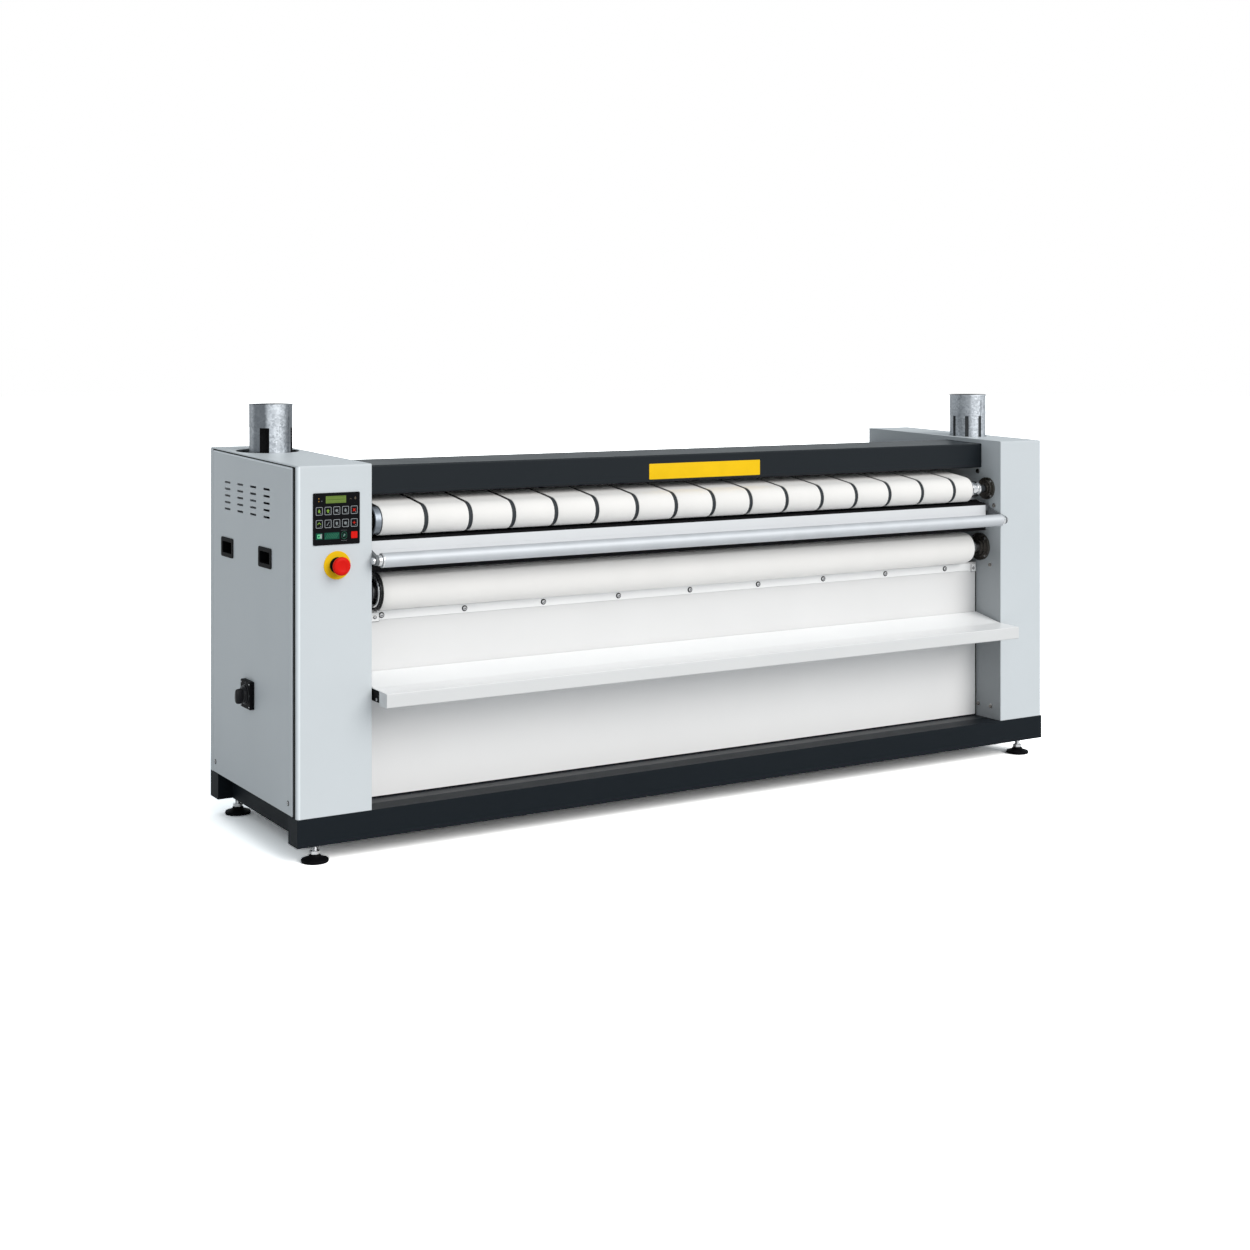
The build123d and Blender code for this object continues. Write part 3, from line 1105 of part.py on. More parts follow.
def control_panel():
    """Black control unit set in the casing, with keys standing up a little and windows for display and stop key."""
    z_top = CONTROL_BOTTOM + CONTROL_HEIGHT
    x_left = X_CONTROL - CONTROL_WIDTH / 2
    row_z = z_top - 58 - KEY_PITCH_Z / 2
    with BuildPart() as unit:
        block(
            (x_left, x_left + CONTROL_WIDTH), (CONTROL_FACE, Y_FRONT), (CONTROL_BOTTOM, z_top)
        )
        fillet(unit.edges().filter_by(Axis.Y), 4)
        block(
            (x_left + 7, x_left + CONTROL_WIDTH - 7), (Y_FRONT, Y_FRONT + CONTROL_BOX_DEPTH),
            (CONTROL_BOTTOM + 7, z_top - 7),
        )
        with BuildSketch(Plane.XZ.offset(-CONTROL_FACE)):
            with Locations((X_CONTROL, row_z)):
                with GridLocations(KEY_PITCH_X, KEY_PITCH_Z, KEY_COLUMNS, KEY_ROWS):
                    RectangleRounded(KEY_SIZE, KEY_SIZE + 3, 3)
        extrude(amount=KEY_LIFT)
        block(
            (x_left + DISPLAY_RIGHT - DISPLAY_WIDTH / 2, x_left + DISPLAY_RIGHT + DISPLAY_WIDTH / 2),
            (CONTROL_FACE - 1, CONTROL_FACE + 2),
            (z_top - DISPLAY_DOWN - DISPLAY_HEIGHT / 2, z_top - DISPLAY_DOWN + DISPLAY_HEIGHT / 2), mode=Mode.SUBTRACT,
        )
        half = STOP_KEY_SIZE / 2 + 0.4
        block(
            (STOP_X - half, STOP_X + half), (CONTROL_FACE - 1, CONTROL_FACE + 6), (STOP_Z - half, STOP_Z + half),
            mode=Mode.SUBTRACT,
        )
    return unit.part


STOP_X = X_CONTROL + 2 * KEY_PITCH_X
STOP_Z = CONTROL_BOTTOM + 29.0


def display_window():
    """Display glass in the control unit."""
    x = X_CONTROL - CONTROL_WIDTH / 2 + DISPLAY_RIGHT
    z = CONTROL_BOTTOM + CONTROL_HEIGHT - DISPLAY_DOWN
    with BuildPart() as window:
        with Locations((x, CONTROL_FACE + 1, z)):
            Box(DISPLAY_WIDTH, 2, DISPLAY_HEIGHT)
    return window.part


def stop_key():
    """Square key that travels into the control unit."""
    with BuildPart() as key:
        block(
            (STOP_X - STOP_KEY_SIZE / 2, STOP_X + STOP_KEY_SIZE / 2), (CONTROL_FACE - 1.6, CONTROL_FACE + 6 - STOP_KEY_TRAVEL - 0.3),
            (STOP_Z - STOP_KEY_SIZE / 2, STOP_Z + STOP_KEY_SIZE / 2),
        )
        fillet(key.edges().filter_by(Axis.Y), 3)
    return key.part


def facing_front(x, y, z):
    """A place whose own Z points out of the machine's front."""
    return Location((x, y, z), (90, 0, 0))


def estop_plate():
    """Yellow disc behind the emergency stop."""
    with BuildPart() as plate:
        with Locations(facing_front(X_ESTOP, Y_FRONT, ESTOP_Z)):
            Cylinder(ESTOP_PLATE_RADIUS, ESTOP_PLATE_THICKNESS, align=(Align.CENTER, Align.CENTER, Align.MIN))
            Cylinder(ESTOP_COLLAR_RADIUS - 6, 20, mode=Mode.SUBTRACT)
    return plate.part


def estop_body():
    """Black collar, neck and contact block of the emergency stop."""
    with BuildPart() as body:
        with Locations(facing_front(X_ESTOP, Y_FRONT - ESTOP_PLATE_THICKNESS, ESTOP_Z)):
            Cylinder(ESTOP_COLLAR_RADIUS, ESTOP_COLLAR_HEIGHT, align=(Align.CENTER, Align.CENTER, Align.MIN))
            Cylinder(ESTOP_COLLAR_RADIUS - 6.3, 30, align=(Align.CENTER, Align.CENTER, Align.MAX))
        block((X_ESTOP - 18, X_ESTOP + 18), (Y_FRONT + 14, Y_FRONT + 60), (ESTOP_Z - 18, ESTOP_Z + 18))
        with Locations(facing_front(X_ESTOP, Y_FRONT + 20, ESTOP_Z)):
            Cylinder(ESTOP_STEM_RADIUS + RUNNING_GAP, 60, align=(Align.CENTER, Align.CENTER, Align.MIN), mode=Mode.SUBTRACT)
    return body.part


ESTOP_FACE = Y_FRONT - ESTOP_PLATE_THICKNESS - ESTOP_COLLAR_HEIGHT - ESTOP_TRAVEL - 0.5


def estop_plunger():
    """Stem of the emergency stop, which goes in with the head."""
    with BuildPart() as stem:
        with Locations(facing_front(X_ESTOP, ESTOP_FACE, ESTOP_Z)):
            Cylinder(ESTOP_STEM_RADIUS, 30, align=(Align.CENTER, Align.CENTER, Align.MAX))
            Cylinder(3, 8, align=(Align.CENTER, Align.CENTER, Align.MIN))
    return stem.part


def estop_head():
    """Red mushroom head that turns on the stem to let go."""
    r = ESTOP_HEAD_RADIUS
    h = ESTOP_HEAD_HEIGHT
    with BuildPart() as head:
        with BuildSketch(Plane.XZ):
            with BuildLine():
                Polyline(
                    (0, 0), (r * 0.62, 0), (r * 0.66, 5), (r, 8), (r, h - 5), (r * 0.96, h - 3.4),
                    (r * 0.75, h - 1.4), (r * 0.3, h), (0, h), close=True,
                )
            make_face()
        revolve(axis=Axis.Z)
        Cylinder(3 + RUNNING_GAP, 8.5, align=(Align.CENTER, Align.CENTER, Align.MIN), mode=Mode.SUBTRACT)
    return head.part.moved(facing_front(X_ESTOP, ESTOP_FACE, ESTOP_Z))


def facing_left(x, y, z):
    """A place whose own Z points out of the machine's left side."""
    return Location((x, y, z), (0, -90, 0))


def main_switch_plate():
    """Black square plate of the main switch on the left service panel."""
    y = Y_FRONT + SWITCH_DEPTH
    with BuildPart() as plate:
        block(
            (X_LEFT - SWITCH_PLATE_THICKNESS, X_LEFT), (y - SWITCH_PLATE / 2, y + SWITCH_PLATE / 2),
            (SWITCH_Z - SWITCH_PLATE / 2, SWITCH_Z + SWITCH_PLATE / 2),
        )
        fillet(plate.edges().filter_by(Axis.X), 6)
        chamfer(plate.faces().sort_by(Axis.X)[0].edges(), 2.5)
        rod((X_LEFT - SWITCH_PLATE_THICKNESS - 1, X_LEFT + 1), y, SWITCH_Z, SWITCH_SHAFT_RADIUS + RUNNING_GAP, mode=Mode.SUBTRACT)
    return plate.part


def main_switch_knob():
    """Round rotary knob with a raised grip bar, on the switch's shaft."""
    y = Y_FRONT + SWITCH_DEPTH
    x = X_LEFT - SWITCH_PLATE_THICKNESS - SEAT_GAP
    with BuildPart() as knob:
        with Locations(facing_left(x, y, SWITCH_Z)):
            Cylinder(SWITCH_KNOB_RADIUS, 12, align=(Align.CENTER, Align.CENTER, Align.MIN))
        chamfer(knob.faces().sort_by(Axis.X)[0].edges(), 2)
        block(
            (x - SWITCH_KNOB_HEIGHT + SEAT_GAP, x - 8), (y - 7, y + 7),
            (SWITCH_Z - SWITCH_KNOB_RADIUS - 8, SWITCH_Z + SWITCH_KNOB_RADIUS),
        )
        fillet(knob.faces().sort_by(Axis.X)[0].edges(), 2.5)
        rod((x, X_LEFT + 12), y, SWITCH_Z, SWITCH_SHAFT_RADIUS)
    return knob.part


def cup_handles():
    """Black recessed handles let into both service panels: a rim outside and a closed pocket behind it."""
    with BuildPart() as handles:
        for side in (LEFT, RIGHT):
            for y in (HANDLE_CENTRE_DEPTH - HANDLE_PITCH / 2, HANDLE_CENTRE_DEPTH + HANDLE_PITCH / 2):
                for start, length, shrink, mode in (
                    (TRIM_PROUD, -TRIM_PROUD, 0, Mode.ADD),
                    (0, -HANDLE_POCKET, 2 * HANDLE_RIM, Mode.ADD),
                    (TRIM_PROUD, -TRIM_PROUD - HANDLE_POCKET + HANDLE_WALL, 2 * (HANDLE_RIM + HANDLE_WALL), Mode.SUBTRACT),
                ):
                    with BuildSketch(Plane.YZ.offset(side.outer + side.out * start)):
                        with Locations((Y_FRONT + y, HANDLE_Z)):
                            RectangleRounded(HANDLE_WIDTH - shrink, HANDLE_HEIGHT - shrink, 8 if shrink == 0 else 4)
                    extrude(amount=side.out * length, mode=mode)
    return handles.part


def casing_screws():
    """Screws in the lower corners of the service panels and hexagon bolts on the inner walls."""
    with BuildPart() as screws:
        for side in (LEFT, RIGHT):
            for y in (FRONT_RETURN + PANEL_FRONT_GAP + 39, CABINET_DEPTH - REAR_RETURN - 24):
                rod((side.outer, side.outer + side.out * TRIM_PROUD), Y_FRONT + y, BASE_TOP + 38, SCREW_HEAD_RADIUS)
            with BuildSketch(Plane.YZ.offset(side.wall)):
                with Locations(*[(Y_FRONT + y, z) for y, z in WALL_BOLTS]):
                    RegularPolygon(WALL_BOLT_RADIUS, 6)
            extrude(amount=-side.out * WALL_BOLT_HEAD)
    return screws.part


# ---------------------------------------------------------------- build
os.makedirs("parts", exist_ok=True)

save(beam_end_to_end(Y_FRONT + BEAM_DEPTH / 2), "base_front_beam")
save(beam_end_to_end(Y_REAR - BEAM_DEPTH / 2), "base_rear_beam")
save(side_rails(), "base_side_rails")
save(base_pan(), "base_pan")
for depth_name, foot_y in zip(("front", "rear"), FOOT_Y):
    for side_name, foot_x in zip(("left", "right"), FOOT_X):
        save(levelling_foot(foot_x, foot_y), f"foot_{depth_name}_{side_name}")
for side, side_name in ((LEFT, "left"), (RIGHT, "right")):
    save(side_frame(side), f"{side_name}_side_frame")
    save(casing(side), f"{side_name}_casing")
    save(service_panel(side), f"{side_name}_service_panel")
    save(fan_box(side), f"{side_name}_fan_housing")
    save(fan_wheel(side), f"{side_name}_fan_wheel")
    save(exhaust_duct(side), f"{side_name}_exhaust_duct")
save(cabinet_rear_covers(), "cabinet_rear_covers")
save(hood(), "hood")
save(top_cover(), "top_cover")
save(rear_cover(), "rear_cover")
save(front_panel(), "front_panel")
save(clamp_strip(), "panel_clamp_strip")
save(strip_screws(), "strip_screws")
save(linen_shelf(), "linen_shelf")
save(wall_brackets(), "wall_brackets")
save(ironing_belts(), "ironing_belts")
save(ironing_cylinder(), "ironing_cylinder")
save(upper_roller(), "upper_roller")
save(lower_roller(), "lower_roller")
save(lower_roller_pad(), "lower_roller_pad")
save(hidden_roller(REAR_TOP), "rear_top_roller")
save(hidden_roller(REAR_BOTTOM), "rear_bottom_roller")
save(hidden_roller(LOWER_BELT), "lower_belt_roller")
save(roller_bearings(), "roller_bearings")
save(cylinder_bearings(), "cylinder_bearings")
save(feed_plate(), "feed_plate")
save(feed_tube(), "feed_tube")
save(tube_axles(), "tube_axles")
save(drive_motor(), "drive_motor")
save(gearbox(), "gearbox")
save(drive_sprocket(), "drive_sprocket")
save(sprocket(CYLINDER_TEETH, Y_CYLINDER, CYLINDER_Z, JOURNAL_RADIUS, 78, 12), "cylinder_sprocket")
save(drive_chain(), "drive_chain")
save(burner(), "burner_tube")
save(control_board(), "control_board")
save(control_panel(), "control_panel")
save(display_window(), "display_window")
save(stop_key(), "stop_key")
save(estop_plate(), "estop_plate")
save(estop_body(), "estop_body")
save(estop_plunger(), "estop_plunger")
save(estop_head(), "estop_head")
save(main_switch_plate(), "main_switch_plate")
save(main_switch_knob(), "main_switch_knob")
save(cup_handles(), "cup_handles")
save(casing_screws(), "casing_screws")
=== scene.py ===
"""Looks of a flatwork ironer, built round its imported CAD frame.

Metres. +X runs to the right along the front, the front faces -Y, +Z is up and the floor is Z = 0.
Pieces are surfaces of two parameters worked out with numpy. Patterns read Object coordinates,
or the UV map of a cloth piece.
"""

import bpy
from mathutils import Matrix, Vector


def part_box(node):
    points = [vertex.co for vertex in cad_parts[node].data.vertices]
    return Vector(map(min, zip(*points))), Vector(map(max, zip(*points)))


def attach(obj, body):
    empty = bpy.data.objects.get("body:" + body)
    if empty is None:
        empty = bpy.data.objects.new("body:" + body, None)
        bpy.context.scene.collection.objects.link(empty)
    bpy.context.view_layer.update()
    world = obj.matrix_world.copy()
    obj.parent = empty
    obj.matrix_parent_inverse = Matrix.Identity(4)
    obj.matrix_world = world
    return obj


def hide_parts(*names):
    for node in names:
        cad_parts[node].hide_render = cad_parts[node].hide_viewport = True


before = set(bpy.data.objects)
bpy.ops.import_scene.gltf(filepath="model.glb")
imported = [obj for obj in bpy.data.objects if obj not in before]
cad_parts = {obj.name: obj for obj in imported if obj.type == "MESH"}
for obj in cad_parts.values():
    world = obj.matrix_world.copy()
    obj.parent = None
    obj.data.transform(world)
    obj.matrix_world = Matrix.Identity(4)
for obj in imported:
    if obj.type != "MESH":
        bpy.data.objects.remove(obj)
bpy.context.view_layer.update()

import bpy
import numpy as np
from bpy.props import FloatProperty, FloatVectorProperty, IntProperty, PointerProperty
from bpy.types import Operator, Panel, PropertyGroup
from mathutils import Vector

bl_info = {
    "name": "Flatwork Ironer Looks",
    "version": (1, 0, 0),
    "blender": (4, 5, 0),
    "location": "View3D > Sidebar > Ironer",
    "description": "Dresses a packed flatwork ironer with cloth, paint, metal and controls",
    "category": "Object",
}

TAU = 2 * np.pi


# ---------------------------------------------------------------- shader maths
class Value:
    """A socket of a finish, with arithmetic: each operator adds one Math node."""

    def __init__(self, finish, socket):
        self.finish = finish
        self.socket = socket

    def math(self, operation, *others):
        return self.finish.add("ShaderNodeMath", {"operation": operation}, dict(enumerate((self, *others))))

    def __add__(self, other):
        return self.math("ADD", other)

    __radd__ = __add__

    def __sub__(self, other):
        return self.math("SUBTRACT", other)

    def __rsub__(self, other):
        return self.finish.add("ShaderNodeMath", {"operation": "SUBTRACT"}, {0: other, 1: self})

    def __mul__(self, other):
        return self.math("MULTIPLY", other)

    __rmul__ = __mul__

    def __truediv__(self, other):
        return self.math("DIVIDE", other)

    def __lt__(self, other):
        return self.math("LESS_THAN", other)

    def __gt__(self, other):
        return self.math("GREATER_THAN", other)


class Finish:
    """A procedural material. Constants are set on the shader's own sockets."""

    def __init__(self, name, colour, roughness, metallic=0.0, **constants):
        self.material = bpy.data.materials.new(name)
        self.material.use_nodes = True
        self.tree = self.material.node_tree
        self.shader = next(n for n in self.tree.nodes if n.type == "BSDF_PRINCIPLED")
        self.colour = tuple(colour)
        self.roughness = roughness
        self.set("Base Color", (*colour, 1.0))
        self.set("Roughness", roughness)
        self.set("Metallic", metallic)
        for socket, value in constants.items():
            self.set(socket.replace("_", " "), value)
        self.material.diffuse_color = (*colour, 1.0)

    def set(self, socket, value):
        """Feeds a shader socket with a number, a colour or a Value."""
        self.feed(self.shader.inputs[socket], value)

    def feed(self, socket, value):
        if isinstance(value, Value):
            self.tree.links.new(value.socket, socket)
        else:
            socket.default_value = value

    def add(self, kind, settings=None, inputs=None, output=0):
        """Adds a node: first its settings, or a ramp's stops, then what its sockets take."""
        node = self.tree.nodes.new(kind)
        for key, value in (settings or {}).items():
            if key == "stops":
                ramp = node.color_ramp.elements
                while len(ramp) < len(value):
                    ramp.new(0.5)
                for element, (place, grey) in zip(ramp, value):
                    element.position = place
                    element.color = (grey, grey, grey, 1.0)
            else:
                setattr(node, key, value)
        for key, value in (inputs or {}).items():
            self.feed(node.inputs[key], value)
        return Value(self, node.outputs[output])

    def place(self, scale=(1, 1, 1), location=(0, 0, 0), uv=False):
        """Object coordinates, or the piece's own UV map, scaled and moved."""
        at = self.add("ShaderNodeTexCoord", output=2 if uv else 3)
        return self.add("ShaderNodeMapping", None, {0: at, 1: location, 3: scale})

    def axis(self, vector, index):
        return self.add("ShaderNodeSeparateXYZ", None, {0: vector}, index)

    def noise(self, scale, detail=2.0, at=None, roughness=0.5):
        """Fractal noise from 0 to 1, with scale features to the metre."""
        at = at or self.place()
        inputs = {"Vector": at, "Scale": scale, "Detail": detail, "Roughness": roughness}
        return self.add("ShaderNodeTexNoise", None, inputs)

    def mix(self, factor, a, b):
        """Colour a where factor is 0, b where it is 1."""
        a, b = (c if isinstance(c, Value) else (*c, 1.0) for c in (a, b))
        return self.add("ShaderNodeMix", {"data_type": "RGBA"}, {0: factor, 6: a, 7: b}, 2)

    def shades(self, factor, low, high):
        """The finish's colour times low to high."""
        return self.mix(factor, *([min(1.0, c * share) for c in self.colour] for share in (low, high)))

    def ramp(self, value, *stops):
        """A smooth curve through (place, grey) stops."""
        return self.add("ShaderNodeValToRGB", {"stops": stops}, {0: value})

    def relief(self, height, depth, strength=1.0, under=None):
        """Bump of a real depth in metres. Further bumps may lie under it."""
        inputs = {"Height": height, "Distance": depth, "Strength": strength}
        if under:
            inputs["Normal"] = under
        return self.add("ShaderNodeBump", None, inputs)

    def vectors(self, operation, inputs, output=0):
        return self.add("ShaderNodeVectorMath", {"operation": operation}, inputs, output)

    def rounded(self, radius):
        """Normals as if every edge had this radius."""
        return self.add("ShaderNodeBevel", {"samples": 4}, {"Radius": radius})


# Black painted as the shade inside the cabinets.
CABINET_INSIDE_SHADE = (0.02, 0.02, 0.02)


def painted(
    name, colour, roughness=0.38, peel=0.00006, edge=0.0015, grain=420, shine=0.3, between=None, fade=None
):
    """Baked enamel or powder coat: faint orange peel, cloudy gloss and rounded sheet edges.
    between is the span of X that shows; past it, inside the cabinets, the sheet is painted black as shade.
    The last argument is (height, share below, share above, span of the change): the coat is darkened to those
    shares as painted shade."""
    paint = Finish(name, colour, roughness, Specular_IOR_Level=shine)
    coat = paint.shades(paint.noise(3.0, 3), 0.965, 1.035)
    if between:
        across = paint.axis(paint.place(), 0)
        # Past the span, the sheet is painted black as the shade inside the cabinets.
        coat = paint.mix((across < between[0]) + (across > between[1]), coat, CABINET_INSIDE_SHADE)
    if fade:
        # Darker below or above a height, as painted shade.
        height, below, above, span = fade
        raised = (paint.axis(paint.place(), 2) - height) * (1 / span) + 0.5
        share = paint.mix(paint.ramp(raised, (0.0, 0.0), (1.0, 1.0)), [below] * 3, [above] * 3)
        multiply = {"data_type": "RGBA", "blend_type": "MULTIPLY"}
        coat = paint.add("ShaderNodeMix", multiply, {0: 1.0, 6: coat, 7: share}, 2)
    paint.set("Base Color", coat)
    smear = paint.noise(9.0, 4, paint.place((1, 1, 0.35)))
    paint.set("Roughness", roughness - 0.05 + 0.1 * smear)
    paint.set("Normal", paint.relief(paint.noise(grain, 2), peel, 1.0, paint.rounded(edge)))
    return paint.material


def turned(name, colour, roughness=0.22, metallic=1.0, lines=2600):
    """Turned or ground steel: fine lines round the X axis, with faint oil film."""
    steel = Finish(name, colour, roughness, metallic)
    line = steel.noise(1.0, 2, steel.place((lines, 60, 60)))
    film = steel.noise(14.0, 3)
    steel.set("Base Color", steel.shades(film, 0.88, 1.08))
    steel.set("Roughness", roughness - 0.06 + 0.08 * line + 0.08 * film)
    steel.set("Normal", steel.relief(line, 0.00003, 0.6, steel.rounded(0.0008)))
    return steel.material


# The photo camera's right-hand direction (x, y). The ducts' painted light and dark are laid along it.
PHOTO_RIGHT = (0.8526, -0.5225)
# Black painted inside a duct as its shade.
DUCT_INSIDE_SHADE = (0.02, 0.02, 0.021)
# Dark grey of the painted shade across a duct.
DUCT_PAINTED_SHADE = (0.085, 0.095, 0.108)
BRIGHTNESS_ROUND = (
    (0.0, 0.3), (0.12, 0.62), (0.2, 0.22), (0.46, 0.16), (0.54, 0.95), (0.86, 1.0), (0.93, 0.5), (1.0, 0.3)
)


def galvanised(name, pipe=None, painted_light_share=1.0):
    """Hot-dip zinc: crystals of 4 to 10 mm, each with its own grey, dulled in clouds.
    pipe is the (x, y, radius) of an upright duct: painted black inside as shade, and outside painted with the
    light and dark that the photograph shows from left to right, as painted shade and painted reflection. The
    third argument is how much of that, 0 for none."""
    zinc = Finish(name, (0.46, 0.48, 0.5), 0.42, 0.85)
    wobble = zinc.vectors("SCALE", {0: zinc.noise(70.0, 3), 3: 0.010})
    at = zinc.vectors("ADD", {0: zinc.place(), 1: wobble})
    inputs = {"Vector": at, "Scale": 150.0, "Randomness": 1.0}
    grey = zinc.axis(zinc.add("ShaderNodeTexVoronoi", {"feature": "F1"}, inputs, 1), 0)
    cloud = zinc.noise(24.0, 4, roughness=0.7)
    dull = zinc.ramp(cloud, (0.35, 0.0), (0.65, 1.0))
    skin = zinc.mix(grey, (0.34, 0.36, 0.39), (0.72, 0.75, 0.79))
    skin = zinc.mix(dull * 0.5, skin, (0.55, 0.58, 0.62))
    if pipe:
        x, y, radius = pipe
        at = zinc.place((1, 1, 0), (-x, -y, 0))
        reach = zinc.vectors("LENGTH", {0: at}, 1)
        across = zinc.axis(at, 0) * PHOTO_RIGHT[0] + zinc.axis(at, 1) * PHOTO_RIGHT[1]
        # Painted shade and painted reflection across the duct: dark on its left, bright on its right.
        wear_and_painted_light = zinc.ramp(across / (2 * radius) + 0.5 + (cloud - 0.5) * 0.12, *BRIGHTNESS_ROUND)
        skin = zinc.mix(wear_and_painted_light * painted_light_share + (1 - painted_light_share), DUCT_PAINTED_SHADE, skin)
        # Inside the duct the zinc is painted black as shade.
        skin = zinc.mix(reach < radius, skin, DUCT_INSIDE_SHADE)
    zinc.set("Base Color", skin)
    zinc.set("Roughness", 0.3 + 0.18 * grey + 0.12 * dull)
    zinc.set("Normal", zinc.relief(grey, 0.00012, 0.5, zinc.rounded(0.0006)))
    return zinc.material


def woven(name, colour, yarns=900.0, pile=0.0, roughness=0.86):
    """Plain-woven cloth on the piece's UV map in metres: yarns cross over and under, softly felted."""
    cloth = Finish(name, colour, roughness, Sheen_Weight=0.25, Sheen_Roughness=0.6)
    at = cloth.place((yarns, yarns, 1), uv=True)
    warp, weft = cloth.axis(at, 0), cloth.axis(at, 1)
    ridge = (warp * np.pi).math("SINE") * (weft * np.pi).math("SINE")
    fuzz = cloth.noise(650.0, 3)
    patch = cloth.noise(7.0, 3)
    height = (ridge * 0.5 + 0.5) * (1 - pile) + fuzz * (0.35 + pile)
    cloth.set("Base Color", cloth.shades(patch * 0.5 + height * 0.5, 0.93, 1.04))
    cloth.set("Roughness", roughness - 0.06 + 0.1 * fuzz)
    cloth.set("Normal", cloth.relief(height, 0.0003, 0.55))
    return cloth.material


def moulded(name, colour, roughness=0.42, grain=1400.0, depth=0.00004, edge=0.0008, shine=0.07):
    """Moulded plastic with a fine eroded grain."""
    plastic = Finish(name, colour, roughness, Specular_IOR_Level=shine)
    skin = plastic.noise(grain, 2)
    wear_and_painted_light = plastic.noise(22.0, 3)
    plastic.set("Base Color", plastic.shades(wear_and_painted_light, 0.94, 1.06))
    plastic.set("Roughness", roughness - 0.04 + 0.08 * wear_and_painted_light)
    plastic.set("Normal", plastic.relief(skin, depth, 1.0, plastic.rounded(edge)))
    return plastic.material


def cast(name, colour, roughness=0.55):
    """Machined casting: coarse skin with a little oil in its hollows."""
    iron = Finish(name, colour, roughness, 0.75)
    skin = iron.noise(260.0, 4, roughness=0.6)
    oil = iron.noise(30.0, 3)
    iron.set("Base Color", iron.shades(oil, 0.75, 1.2))
    iron.set("Roughness", roughness - 0.15 + 0.25 * oil)
    iron.set("Normal", iron.relief(skin, 0.00015, 0.7, iron.rounded(0.0012)))
    return iron.material


def plated(name, colour=(0.66, 0.66, 0.67), roughness=0.2):
    """Zinc or nickel plate on small turned parts."""
    plate = Finish(name, colour, roughness, 1.0)
    bloom = plate.noise(90.0, 3)
    plate.set("Base Color", plate.shades(bloom, 0.9, 1.06))
    plate.set("Roughness", roughness - 0.05 + 0.12 * bloom)
    plate.set("Normal", plate.relief(plate.noise(900.0), 0.00001, 0.4, plate.rounded(0.0004)))
    return plate.material


FINISHES = {}


# ---------------------------------------------------------------- surfaces
X, Y, Z = np.eye(3)
MM = 0.001


def mm(points):
    """Points or a number in millimetres, as metres."""
    return np.asarray(points, float) * MM


def circle(turn):
    """(cos t, sin t)."""
    return np.stack([np.cos(turn), np.sin(turn)], -1)


def inner_walls():
    """X of the two walls beside the rollers."""
    return [corner[0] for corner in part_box("wall_brackets")]


def node_box(node):
    """Lowest and highest corner of a CAD node as arrays."""
    return [np.array(corner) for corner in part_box(node)]


def outline(half_u, half_v, radius, steps=6):
    """Rounded rectangle: four quarter circles about (+-(a - r), +-(b - r)), as (cos t, sin t) times r."""
    turn = np.arange(4)[:, None] * np.pi / 2 + np.linspace(0, np.pi / 2, steps)
    sign = np.array([(1, 1), (-1, 1), (-1, -1), (1, -1)])[:, None]
    middle = sign * (half_u - radius, half_v - radius)
    return (middle + radius * circle(turn)).reshape(-1, 2)


def plate(centre, u, v, half, radius, thickness, edge=0.0004, steps=6):
    """A flat piece with a rolled rim: outlines inset by e (1 - cos t), raised by e sin t along u x v.
    centre is the middle of its underside."""
    centre, normal = np.asarray(centre, float), np.cross(u, v)
    bend = np.linspace(0, np.pi / 2, 4)
    inset = np.concatenate([[0.0], edge * (1 - np.cos(bend))])
    lift = np.concatenate([[0.0], thickness - edge + edge * np.sin(bend)])
    flat = np.stack([outline(half[0] - i, half[1] - i, max(radius - i, 0.00005), steps) for i in inset])
    return centre + flat[..., :1] * u + flat[..., 1:] * v + lift[:, None, None] * normal


def turned_piece(profile, centre, axis, steps=48):
    """A profile of (along, radius) carried round an axis: c + a n + r (cos t u + sin t w)."""
    axis = np.asarray(axis, float)
    side = Z if abs(axis[2]) < 0.9 else X
    u = np.cross(axis, side)
    u /= np.linalg.norm(u)
    w = np.cross(axis, u)
    turn = np.arange(steps) * TAU / steps
    along, radius = np.asarray(profile, float).T
    ring = np.cos(turn)[:, None] * u + np.sin(turn)[:, None] * w
    return np.asarray(centre, float) + along[:, None, None] * axis + radius[:, None, None] * ring


def prism(points, centre, u, v, thickness, lift=0.0):
    """A flat shape: its outline in (u, v) at two heights along u x v."""
    points, normal = np.asarray(points, float), np.cross(u, v)
    flat = np.asarray(centre, float) + points[:, :1] * u + points[:, 1:] * v
    return np.stack([flat + lift * normal, flat + (lift + thickness) * normal])


def hoop(half, radius, width, centre, u, v, thickness, lift=0.0):
    """A flat band along a rounded rectangle, to be closed as a loop: two outlines at two heights."""
    outer = outline(half[0], half[1], radius)
    inner = outline(half[0] - width, half[1] - width, max(radius - width, 0.0001))
    low, high = lift, lift + thickness
    section = [(outer, low), (outer, high), (inner, high), (inner, low)]
    flat = np.stack([points for points, _ in section])
    height = np.array([level for _, level in section])[:, None, None]
    return np.asarray(centre, float) + flat[..., :1] * u + flat[..., 1:] * v + height * np.cross(u, v)


def volume(points, faces):
    """Six times the signed volume: the sum over fans of a . (b x c)."""
    total = 0.0
    for face in faces:
        a = points[face[:, 0]]
        for k in range(1, face.shape[1] - 1):
            total += np.einsum("ij,ij->", a, np.cross(points[face[:, k]], points[face[:, k + 1]]))
    return total


